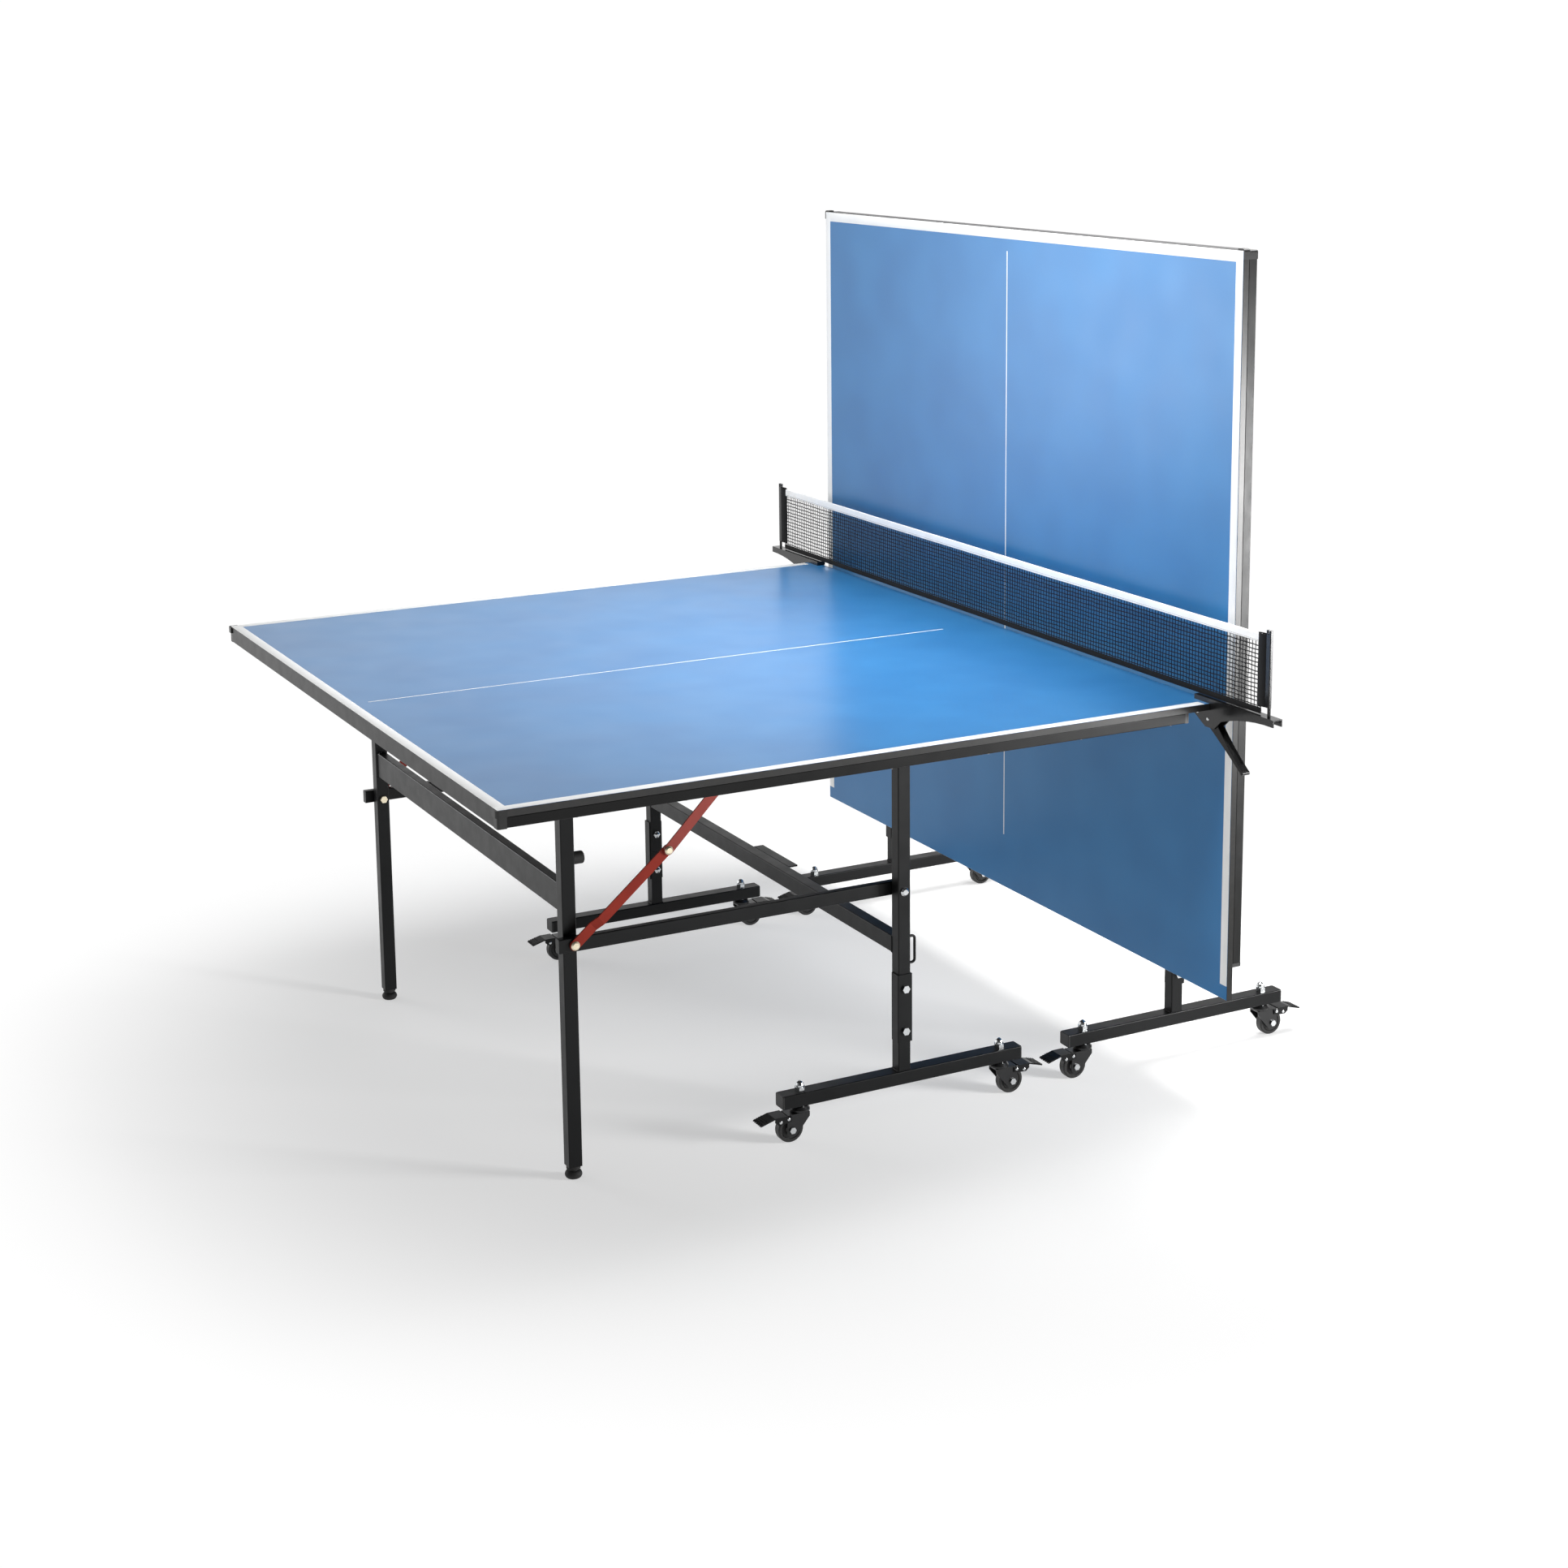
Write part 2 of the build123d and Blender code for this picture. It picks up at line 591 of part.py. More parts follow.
# ==================================================================== casters
def make_fork():
    """Swivel housing: a raceway round the stem and two cheeks that hold the axle."""
    cheek_t = 2.5
    cheek_y = wheel_w / 2 + 2
    race_top = foot_z - 1.9
    cheek_top = 54.0
    with BuildPart() as fork:
        with BuildSketch(Plane.XZ) as race:
            with BuildLine():
                Polyline((stem_r + running_fit, cheek_top), (16, cheek_top), (18, 56), (18, 59),
                         (14, race_top), (stem_r + running_fit, race_top), close=True)
            make_face()
        revolve(race.sketch, axis=Axis.Z, revolution_arc=360)
        with BuildSketch(Plane.XY.offset(cheek_top - 2.5)) as crown:
            with Locations((-9, 0)):
                Rectangle(44, 2 * (cheek_y + cheek_t))
            Circle(stem_r + running_fit, mode=Mode.SUBTRACT)
        extrude(crown.sketch, amount=2.5)
        with BuildSketch(Plane.XZ.offset(-cheek_y - cheek_t)) as cheek:
            with BuildLine():
                l1 = Polyline((-31, cheek_top), (13, cheek_top), (13, 46), (-11, 17))
                l2 = ThreePointArc(l1 @ 1, (-trail, 12), (-33, 20))
                Line(l2 @ 1, l1 @ 0)
            make_face()
            with Locations((-trail, wheel_r)):
                Circle(pin_r, mode=Mode.SUBTRACT)
        extrude(cheek.sketch, amount=cheek_t)
        extrude(cheek.sketch.moved(Location((0, -2 * cheek_y - cheek_t, 0))), amount=cheek_t)
        with Locations((-trail, 0, wheel_r)):
            Cylinder(pin_r, 2 * (cheek_y + cheek_t), rotation=(90, 0, 0))
        for side in (-1, 1):
            hub = Plane((-trail, side * (cheek_y + cheek_t), wheel_r), x_dir=(1, 0, 0),
                        z_dir=(0, side, 0))
            with BuildSketch(hub) as head:
                RegularPolygon(11 / sqrt(3), 6)
            extrude(head.sketch, amount=3.5)
        for side in (-1, 1):
            pin = Plane((-30, side * (cheek_y + cheek_t), 48), x_dir=(1, 0, 0),
                        z_dir=(0, side, 0))
            with BuildSketch(pin) as stub:
                Circle(2.0)
            extrude(stub.sketch, amount=2.4)
    return fork.part


def make_wheel():
    """Caster wheel: a rounded tread, a recessed face and a bored hub."""
    half = wheel_w / 2
    with BuildPart() as wheel:
        with BuildSketch(Plane((-trail, 0, wheel_r), x_dir=(0, 1, 0), z_dir=(-1, 0, 0))) as half_cut:
            with BuildLine():
                l1 = Polyline((-half - 1.2, hole_r), (half + 1.2, hole_r), (half + 1.2, 8.5),
                              (half - 2.5, 9.5), (half - 2.5, 17), (half - 0.5, 19),
                              (half - 0.5, wheel_r - 3))
                l2 = ThreePointArc(l1 @ 1, (half - 1.6, wheel_r - 0.8), (half - 5, wheel_r))
                l3 = Line(l2 @ 1, (5 - half, wheel_r))
                l4 = ThreePointArc(l3 @ 1, (1.6 - half, wheel_r - 0.8), (0.5 - half, wheel_r - 3))
                Polyline(l4 @ 1, (0.5 - half, 19), (2.5 - half, 17), (2.5 - half, 9.5),
                         (-half - 1.2, 8.5), (-half - 1.2, hole_r))
            make_face()
        revolve(half_cut.sketch, axis=Axis((-trail, 0, wheel_r), (0, 1, 0)), revolution_arc=360)
    return wheel.part


def make_pedal():
    """Brake pedal: a ribbed tread above the wheel and two ears on the fork's pins."""
    ear_y = wheel_w / 2 + 2 + 2.5 + 0.3
    ear_t = 2.0
    tread_w = 2 * (ear_y + ear_t)
    with BuildPart() as pedal:
        with BuildSketch(Plane.XZ.offset(-tread_w / 2)) as ear:
            with BuildLine():
                Polyline((-24, 52), (-24, 43), (-34, 41), (-50, 40), (-57, 46), (-57, 52),
                         close=True)
            make_face()
            with Locations((-30, 48)):
                Circle(2.0 + running_fit, mode=Mode.SUBTRACT)
        extrude(ear.sketch, amount=ear_t)
        extrude(ear.sketch.moved(Location((0, ear_t - tread_w, 0))), amount=ear_t)
        with BuildSketch(Plane.XZ.offset(-tread_w / 2)) as tread:
            with BuildLine():
                Polyline((-33.5, 54.5), (-33.5, 52), (-58, 52), (-pedal_reach, 44),
                         (-pedal_reach, 46.5), (-58, 54.5), close=True)
            make_face()
        extrude(tread.sketch, amount=tread_w)
        for index in range(4):
            x = -pedal_reach + 2.5 + index * 4.5
            with Locations(Location((x, 0, 46.9 + index * 1.3), (0, -16, 0))):
                Box(1.6, tread_w, 2.4)
        for index in range(5):
            with Locations((-pedal_reach, (index - 2) * 6.4, 45)):
                Box(8, 2.6, 8, mode=Mode.SUBTRACT)
    return pedal.part


# ==================================================================== net set
def make_net():
    """The net as a thin stretched sheet between the posts."""
    span = 2 * (half_width + post_out - 6.5)
    with BuildPart() as net:
        with BuildSketch(Plane.XY.offset(surface_z + arm_t + 1)):
            with Locations((net_x, 0)):
                Rectangle(2, span)
        extrude(amount=net_top - arm_t - 1)
    return net.part


def make_net_clamps():
    """Clamp arms folded from sheet steel, their side cheeks and the net posts."""
    tip = -180.0
    edge = -1.0
    inner = 45.0
    cheek_low = 716.0
    with BuildPart() as clamps:
        for x in (net_x - arm_w / 2, net_x + arm_w / 2 - clamp_t):
            with BuildSketch(Plane((x, -half_width, 0), x_dir=(0, 1, 0), z_dir=(1, 0, 0))) as cheek:
                with BuildLine():
                    l1 = Polyline((inner, surface_z), (inner, surface_z + arm_t),
                                  (tip, surface_z + arm_t), (tip, surface_z - 4))
                    l2 = ThreePointArc(l1 @ 1, (-105, surface_z - 9), (-34, surface_z - 26))
                    Polyline(l2 @ 1, (-14, cheek_low), (12, cheek_low), (50, 738),
                             (50, board_z - 0.5), (edge, board_z - 0.5), (edge, surface_z),
                             (inner, surface_z))
                make_face()
            extrude(cheek.sketch, amount=clamp_t)
        with Locations((net_x, near(clamp_pivot[0]), clamp_pivot[1])):
            Cylinder(2.5, arm_w - clamp_t, rotation=(0, 90, 0))
        for inward, height in (clamp_pivot, clamp_stud):
            for side in (-1, 1):
                cheek_face = Plane((net_x + side * arm_w / 2, near(inward), height),
                                   x_dir=(0, 1, 0), z_dir=(side, 0, 0))
                with BuildSketch(cheek_face) as head:
                    Circle(3.2)
                extrude(head.sketch, amount=1.2, taper=30)
        with BuildSketch(Plane.XY.offset(surface_z + arm_t - clamp_t)) as top:
            with Locations((net_x, near((tip + inner) / 2))):
                Rectangle(arm_w, inner - tip)
        extrude(top.sketch, amount=clamp_t)
        with Locations((net_x, near(inner - 22), surface_z + (arm_t - clamp_t) / 2)):
            Box(arm_w - 2 * clamp_t, 44, arm_t - clamp_t)
        mirror(about=Plane.XZ)
    with BuildPart() as posts:
        post_y = near(-post_out)
        foot_base = surface_z + arm_t
        foot_top = foot_base + 16
        post_head = surface_z + 162
        with BuildSketch(Plane.XY.offset(foot_base)) as foot:
            with Locations((net_x, post_y - 3)):
                Circle(3)
        extrude(foot.sketch, amount=foot_top - foot_base)
        with BuildSketch(Plane.XY.offset(foot_top)) as blade:
            with Locations((net_x, post_y)):
                RectangleRounded(6, 12, 1.5)
        extrude(blade.sketch, amount=post_head - foot_top)
        with Locations((net_x, post_y, post_head)):
            Box(10, 4, 14, mode=Mode.SUBTRACT)
        mirror(about=Plane.XZ)
    return grouped(clamps.part, posts.part)


def make_clamp_lever(side):
    """Spring lever: two curved cheeks joined by a web, a jaw pad and its rivet."""
    gap = 0.5
    width = arm_w - 2 * clamp_t - 2 * gap
    plate = 1.5
    with BuildPart() as lever:
        start = Plane((net_x - width / 2, -half_width, 0), x_dir=(0, 1, 0), z_dir=(1, 0, 0))
        with BuildSketch(start) as outline:
            with BuildLine():
                l1 = Polyline((40, 746.5), (40, 741), (14, 724))
                l2 = ThreePointArc(l1 @ 1, (-40, 688), (-92, 650))
                l3 = ThreePointArc(l2 @ 1, (-97, 652), (-94, 657))
                l4 = ThreePointArc(l3 @ 1, (-42, 701), (-8, 737))
                Polyline(l4 @ 1, (4, 743), (14, 746.5), (40, 746.5))
            make_face()
            with Locations((clamp_pivot[0], clamp_pivot[1])):
                Circle(2.5 + running_fit, mode=Mode.SUBTRACT)
        extrude(outline.sketch, amount=width)
        hollow = Plane((net_x - width / 2 + plate, -half_width, 0), x_dir=(0, 1, 0),
                       z_dir=(1, 0, 0))
        with BuildSketch(hollow) as inside:
            with BuildLine():
                l1 = ThreePointArc((-6, 719), (-44, 692), (-80, 664))
                l2 = Line(l1 @ 1, (-88, 672))
                Polyline(l2 @ 1, (-60, 720), (-6, 748), (-6, 719))
            make_face()
        extrude(inside.sketch, amount=width - 2 * plate, mode=Mode.SUBTRACT)
        if side > 0:
            mirror(about=Plane.XZ, mode=Mode.REPLACE)
    return lever.part


# ================================================================ write parts
top_pieces = {
    "board": make_board(),
    "apron": make_apron(),
    "corner_caps": make_corner_caps(),
    "top_brackets": make_brackets(),
    "top_bolts": make_top_bolts(),
}
trolley_pieces = {
    "trolley_frame": make_trolley_frame(),
    "t_feet": make_t_feet(),
    "foot_caps": make_foot_caps(),
    "trolley_bolts": make_trolley_bolts(),
}
leg_pieces = {
    "legs": make_legs(),
    "leg_feet": make_leg_feet(),
    "leg_bumpers": make_bumpers(),
    "leg_bolts": make_leg_bolts(),
}
groups = {
    "top": top_pieces,
    "trolley": trolley_pieces,
    "legs": leg_pieces,
    "links": {"link_bars": make_links()},
    "upper_stay": {"upper_stays": make_upper_stays()},
    "lower_stay": {"lower_stays": make_lower_stays()},
}
for group, pieces in groups.items():
    for label, piece in pieces.items():
        save(piece, f"play_{label}", play)
        save(piece, f"rebound_{label}", rebound * folded[group])

caster_pieces = {"fork": make_fork(), "wheel": make_wheel(), "pedal": make_pedal()}
for half, place in (("play", play), ("rebound", rebound)):
    near_y = near(post_in) if half == "play" else -near(post_in)
    for end, way, turn in (("end", -1, 0), ("net", 1, 180)):
        for side, y in (("near", near_y), ("far", -near_y)):
            spot = place * Location((fold_x + way * stem_offset, y, 0), (0, 0, turn))
            for label, piece in caster_pieces.items():
                save(piece, f"{half}_{end}_{side}_{label}", spot)

save(make_net(), "net", play)
save(make_net_clamps(), "net_clamps", play)
save(make_clamp_lever(-1), "net_lever_near", play)
save(make_clamp_lever(1), "net_lever_far", play)
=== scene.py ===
# %% [markdown]
# # A folding table tennis table, set up for playing alone
#
# One half of the table lies level and the other stands upright behind the net, as
# a wall that sends the ball back. The steel frame, the boards and the casters come
# from the CAD model, which stays exactly where it is. This file gives each of those
# parts its finish and adds what a CAD model leaves out: the painted court lines,
# the knitted net with its tape and sleeves, the rivets and the weld beads.
#
# Everything is in metres and in the CAD model's own frame: X runs along the
# table, Y across it, Z up.

# %% Load the fixed frame
import json
from math import pi, radians

import bpy
import numpy as np
from mathutils import Matrix, Vector


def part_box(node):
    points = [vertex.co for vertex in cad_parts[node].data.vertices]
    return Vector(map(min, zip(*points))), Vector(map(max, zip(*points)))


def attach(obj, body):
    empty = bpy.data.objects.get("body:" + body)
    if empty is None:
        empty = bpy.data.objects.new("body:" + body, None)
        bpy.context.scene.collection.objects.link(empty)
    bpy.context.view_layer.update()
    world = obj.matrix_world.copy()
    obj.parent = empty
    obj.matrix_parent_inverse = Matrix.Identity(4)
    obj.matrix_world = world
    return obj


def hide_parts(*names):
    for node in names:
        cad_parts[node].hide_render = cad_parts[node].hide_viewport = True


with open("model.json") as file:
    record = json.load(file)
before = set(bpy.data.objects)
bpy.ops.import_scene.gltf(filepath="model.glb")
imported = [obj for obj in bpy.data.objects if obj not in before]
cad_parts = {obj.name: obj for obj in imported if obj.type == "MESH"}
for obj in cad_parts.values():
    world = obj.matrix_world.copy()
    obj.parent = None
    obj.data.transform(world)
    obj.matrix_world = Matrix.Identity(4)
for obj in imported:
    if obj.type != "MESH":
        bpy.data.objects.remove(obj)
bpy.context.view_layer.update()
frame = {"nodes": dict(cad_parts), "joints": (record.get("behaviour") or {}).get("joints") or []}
nodes = frame["nodes"]
joints = {joint["name"]: joint for joint in frame["joints"]}
mm = 0.001

# %% [markdown]
# ## Where things are
#
# Places are read from the CAD parts rather than typed in. A box gives a part's
# lowest and highest corner, and a joint gives the middle of a pin or an axle.

# %% Read the places that later steps need
play_low, play_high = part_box("play_board")
wall_low, wall_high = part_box("rebound_board")
net_low, net_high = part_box("net")
clamp_low, clamp_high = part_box("net_clamps")
surface_z = play_high.z
wall_x = wall_low.x
net_x = (net_low.x + net_high.x) / 2
side_y = play_high.y
print(f"playing surface {surface_z:.3f} m high, board {2 * side_y:.3f} m wide")

# %% [markdown]
# ## The camera
#
# The camera stands at the near corner of the end edge, a little above the table.
# A camera that tilts down makes upright edges lean. This one tilts only a little
# and slides its lens the rest of the way, which `shift_y` does, so that upright
# edges stay nearly upright.

# %% Place the camera
camera_place = Vector((-2.2008, -4.3083, 1.8785))
camera_yaw = -27.32        # degrees about Z, from looking along +Y
camera_pitch = -10.72      # degrees below the horizon
camera_roll = -0.61
camera = bpy.data.objects.new("camera", bpy.data.cameras.new("camera"))
bpy.context.scene.collection.objects.link(camera)
camera.data.sensor_width = 36.0
camera.data.lens = 58.13
camera.data.shift_y = -0.15
camera.data.clip_end = 200.0
camera.matrix_world = (
    Matrix.Translation(camera_place)
    @ Matrix.Rotation(radians(camera_yaw), 4, "Z")
    @ Matrix.Rotation(radians(90 + camera_pitch), 4, "X")
    @ Matrix.Rotation(radians(camera_roll), 4, "Z")
)
bpy.context.scene.camera = camera
print("camera looks", camera_pitch, "degrees down through a", camera.data.lens, "mm lens")

# %% [markdown]
# ## Two helpers for materials
#
# Paint charts and screens give colours as sRGB hex values, but a renderer adds
# light up in linear values, so one function converts them. A material is a chain
# of nodes, and one function adds a node with its settings and its inputs. An
# input is either a plain value or the output of an earlier node.

# %% Colour and node helpers
def linear(hex_colour):
    """sRGB to linear: c / 12.92 below 0.04045, else ((c + 0.055) / 1.055) ** 2.4."""
    srgb = np.array([int(hex_colour[i:i + 2], 16) / 255 for i in (1, 3, 5)])
    low, high = srgb / 12.92, ((srgb + 0.055) / 1.055) ** 2.4
    return (*np.where(srgb <= 0.04045, low, high).tolist(), 1.0)


def add(tree, kind, inputs=None, **settings):
    """Adds one shader node; inputs maps a socket to a value or to another output."""
    node = tree.nodes.new("ShaderNode" + kind)
    for name, value in settings.items():
        setattr(node, name, value)
    for socket, value in (inputs or {}).items():
        if isinstance(value, bpy.types.NodeSocket):
            tree.links.new(value, node.inputs[socket])
        else:
            node.inputs[socket].default_value = value
    return node


def material(name):
    """A new material with an empty tree."""
    made = bpy.data.materials.new(name)
    made.use_nodes = True
    made.node_tree.nodes.clear()
    return made, made.node_tree


def surface(tree, inputs):
    """Ends a tree with a Principled shader."""
    shader = add(tree, "BsdfPrincipled", inputs)
    add(tree, "OutputMaterial", {"Surface": shader.outputs["BSDF"]})


def per_metre(size_mm):
    """Noise scale that makes cells of this size in millimetres."""
    return 1000.0 / size_mm


def varied(tree, place, size_mm, low, high, detail=2.0, ends=(0.1, 0.9)):
    """Soft noise in cells of a real size, spread between two values."""
    noise = add(tree, "TexNoise", {"Vector": place, "Scale": per_metre(size_mm), "Detail": detail})
    spread = add(tree, "MapRange", {"Value": noise.outputs["Fac"], "From Min": ends[0],
                                    "From Max": ends[1], "To Min": low, "To Max": high},
                 interpolation_type="SMOOTHSTEP")
    return spread.outputs["Result"]


def mixed(tree, share, first, second):
    """Colour between first and second by share."""
    node = add(tree, "Mix", {0: share, 6: first, 7: second}, data_type="RGBA")
    return node.outputs[2]


def compare(tree, operation, value, limit):
    """1 where value is GREATER_THAN or LESS_THAN the limit."""
    return add(tree, "Math", {0: value, 1: limit}, operation=operation).outputs[0]


print("black paint #17181A is", [round(c, 4) for c in linear("#17181A")[:3]])

# %% [markdown]
# ## The playing surface
#
# The board is medium density fibreboard with a roller-coated matt blue paint on
# the playing face and black sealer on the other sides. Roller coating leaves a
# fine even stipple, which keeps glare down, and a paint film that is a little
# uneven in gloss over a hand's breadth. The blue lies only on the outer face, so
# the object coordinate across the board decides where it starts.

# %% Blue and black sides of the boards
def court_paint(name, axis, face, outward, specular):
    """Matt blue where the coordinate on an axis reaches the face, black elsewhere."""
    made, tree = material(name)
    place = add(tree, "TexCoord").outputs["Object"]
    across = add(tree, "SeparateXYZ", {"Vector": place}).outputs[axis]
    skin = 0.2 * mm
    tone_mm, gloss_mm, fibre_mm = 140, 90, 9
    # the real stipple is under 1 mm; it is drawn coarser so that it shows from here
    stipple_mm, stipple_high = 5.0, 0.05 * mm
    whole = (0.0, 1.0)      # a gentle spread, without the contrast of the other finishes
    side = "GREATER_THAN" if outward > 0 else "LESS_THAN"
    is_face = compare(tree, side, across, face - outward * skin)
    blue = mixed(tree, varied(tree, place, tone_mm, 0, 1, 1.0, whole), linear("#2A6DA4"),
                 linear("#347AB1"))
    black = mixed(tree, varied(tree, place, fibre_mm, 0, 1), linear("#151515"),
                  linear("#201F1E"))
    stipple = varied(tree, place, stipple_mm, 0, 1, 1.0, whole)
    bump = add(tree, "Bump", {"Height": stipple, "Strength": 0.1, "Distance": stipple_high})
    surface(tree, {"Base Color": mixed(tree, is_face, black, blue),
                   "Specular IOR Level": specular,
                   "Roughness": varied(tree, place, gloss_mm, 0.285, 0.33, 1.0, whole),
                   "Normal": bump.outputs["Normal"]})
    return made


play_paint = court_paint("roller_coated_blue_board_level", "Z", surface_z, 1, 0.55)
wall_paint = court_paint("roller_coated_blue_board_upright", "X", wall_x, -1, 0.3)
print("made", play_paint.name, "and", wall_paint.name)

# %% [markdown]
# ## Powder-coated steel
#
# The tubes, rails and brackets are mild steel with a baked powder coat. The
# powder flows together in the oven but never quite flat, so it has a faint
# orange-peel skin: light breaks up a little at the edge of a reflection. One
# function makes each powder finish from its colour and its gloss.

# %% Powder coats
coat_tone_mm = 45           # patches of slightly different tone
coat_gloss_mm = 30          # and of slightly different gloss
peel_high = 0.06 * mm       # depth of the orange peel


def powder_coat(name, dark, light, roughness, peel_mm=3.0, peel=0.3):
    """Baked powder paint: two close tones, uneven gloss and an orange-peel bump."""
    made, tree = material(name)
    place = add(tree, "TexCoord").outputs["Object"]
    tone = mixed(tree, varied(tree, place, coat_tone_mm, 0, 1, 4.0), linear(dark),
                 linear(light))
    # real orange peel is about 1 mm; it is drawn coarser so that it shows
    skin = varied(tree, place, peel_mm, 0, 1, 2.0)
    bump = add(tree, "Bump", {"Height": skin, "Strength": peel, "Distance": peel_high})
    gloss = varied(tree, place, coat_gloss_mm, roughness - 0.04, roughness + 0.06)
    surface(tree, {"Base Color": tone, "Specular IOR Level": 0.22, "Roughness": gloss,
                   "Normal": bump.outputs["Normal"]})
    return made


satin_black = powder_coat("satin_black_powder_coat", "#08090A", "#0E0F10", 0.36)
rail_black = powder_coat("rail_black_powder_coat", "#070707", "#0D0D0D", 0.36)
clamp_black = powder_coat("gloss_black_clamp_paint", "#0C0C0D", "#121213", 0.2, 4.0, 0.15)
fork_black = powder_coat("black_lacquered_pressing", "#0D0D0E", "#151516", 0.33, 2.5, 0.2)
stay_red = powder_coat("oxide_red_powder_coat", "#7C1C0E", "#8C2614", 0.42)
print("powder coats", satin_black.name, rail_black.name, clamp_black.name, stay_red.name)

# %% [markdown]
# ## Zinc-plated fasteners
#
# Bolts, acorn nuts and rivets are steel with bright zinc plate. Zinc is a metal,
# so its colour tints the reflection, and the plating bath leaves faint cloudy
# patches. The rivets of the red stays are passivated a warmer, creamy yellow.

# %% Zinc plate
def zinc_plate(name, cool, warm, roughness):
    """Plated metal: two tints in cloudy patches and a slightly scattered gloss."""
    made, tree = material(name)
    place = add(tree, "TexCoord").outputs["Object"]
    cloud_mm, gloss_mm = 5, 3
    tint = mixed(tree, varied(tree, place, cloud_mm, 0, 1, 3.0), linear(cool), linear(warm))
    gloss = varied(tree, place, gloss_mm, roughness - 0.05, roughness + 0.08)
    surface(tree, {"Base Color": tint, "Metallic": 1.0, "Roughness": gloss})
    return made


bright_zinc = zinc_plate("bright_zinc_plate", "#D9DCDF", "#C9CBCB", 0.18)
cream_zinc = zinc_plate("cream_passivated_zinc", "#F0E6CE", "#E2D6BA", 0.42)
print("plated finishes", bright_zinc.name, cream_zinc.name)

# %% [markdown]
# ## Moulded plastic and rubber
#
# Caps and plugs are injection-moulded ABS with a fine spark-eroded grain. The
# levelling feet and the buffers are rubber: nearly black, dull, and a little
# dusty because dust clings to it.

# %% Moulded finishes
def moulded(name, dark, light, roughness, grain_mm, grain):
    """Moulded skin: a fine even grain from the mould and faint tone patches."""
    made, tree = material(name)
    place = add(tree, "TexCoord").outputs["Object"]
    tone_mm, grain_high = 12, 0.1 * mm
    tone = mixed(tree, varied(tree, place, tone_mm, 0, 1, 3.0), linear(dark), linear(light))
    skin = varied(tree, place, grain_mm, 0, 1, 1.0)
    bump = add(tree, "Bump", {"Height": skin, "Strength": grain, "Distance": grain_high})
    surface(tree, {"Base Color": tone, "Roughness": roughness, "IOR": 1.52,
                   "Normal": bump.outputs["Normal"]})
    return made


cap_plastic = moulded("spark_grained_black_abs", "#131313", "#1B1B1B", 0.5, 1.2, 0.4)
foot_rubber = moulded("moulded_black_rubber", "#101010", "#1C1B1A", 0.72, 1.6, 0.5)
print("moulded finishes", cap_plastic.name, foot_rubber.name)

# %% [markdown]
# ## Two-finish parts
#
# Some CAD parts hold two finishes in one piece: a caster housing carries its
# plated axle bolt, an upper stay carries its plated knee rivet, and a wheel has a
# pale nylon hub. A mask worked out from the distance to the axle or from the
# middle of the table tells the two apart.

# %% Masks on Object coordinates
def from_axle(tree, axle):
    """Distance from the line through the axle along Y, and the distance along it."""
    place = add(tree, "TexCoord").outputs["Object"]
    moved = add(tree, "VectorMath", {0: place, 1: axle}, operation="SUBTRACT").outputs[0]
    flat = add(tree, "VectorMath", {0: moved, 1: (1, 0, 1)}, operation="MULTIPLY").outputs[0]
    around = add(tree, "VectorMath", {0: flat}, operation="LENGTH").outputs["Value"]
    side = add(tree, "SeparateXYZ", {"Vector": moved}).outputs["Y"]
    along = add(tree, "Math", {0: side}, operation="ABSOLUTE").outputs[0]
    return place, around, along


def both(tree, first, second):
    """1 where both masks are 1."""
    return add(tree, "Math", {0: first, 1: second}, operation="MULTIPLY").outputs[0]


def housing_finish(name, axle):
    """Lacquered fork with a zinc axle bolt outside its cheeks."""
    made, tree = material(name)
    place, around, along = from_axle(tree, axle)
    cheek_face = 13.6 * mm      # outer face of a cheek, from the wheel's middle
    bolt_radius = 7.0 * mm
    peel_mm, lacquer_high, gloss_mm = 2.5, 0.05 * mm, 12
    bolt = both(tree, compare(tree, "LESS_THAN", around, bolt_radius),
                compare(tree, "GREATER_THAN", along, cheek_face))
    peel = varied(tree, place, peel_mm, 0, 1)
    bump = add(tree, "Bump", {"Height": peel, "Strength": 0.2, "Distance": lacquer_high})
    surface(tree, {"Base Color": mixed(tree, bolt, linear("#101011"), linear("#D3D5D6")),
                   "Metallic": bolt, "Roughness": varied(tree, place, gloss_mm, 0.285, 0.36),
                   "Normal": bump.outputs["Normal"]})
    return made


def wheel_finish(name, axle):
    """Hard black tread with a turned face and a pale nylon hub."""
    made, tree = material(name)
    place, around, along = from_axle(tree, axle)
    hub_radius = 9.4 * mm
    # the mould leaves rings about 1 mm apart on the faces of the wheel
    ring_pitch, ring_high = 1.1 * mm, 0.1 * mm
    scuff_mm, gloss_mm = 4, 6
    hub = compare(tree, "LESS_THAN", around, hub_radius)
    rings = add(tree, "Math", {0: around, 1: 2 * pi / ring_pitch}, operation="MULTIPLY")
    wave = add(tree, "Math", {0: rings.outputs[0]}, operation="SINE").outputs[0]
    bump = add(tree, "Bump", {"Height": wave, "Strength": 0.12, "Distance": ring_high})
    scuffs = varied(tree, place, scuff_mm, 0, 1, 4.0)
    tread = mixed(tree, scuffs, linear("#121212"), linear("#232221"))
    surface(tree, {"Base Color": mixed(tree, hub, tread, linear("#A9A9A6")),
                   "Roughness": varied(tree, place, gloss_mm, 0.42, 0.55),
                   "Normal": bump.outputs["Normal"]})
    return made


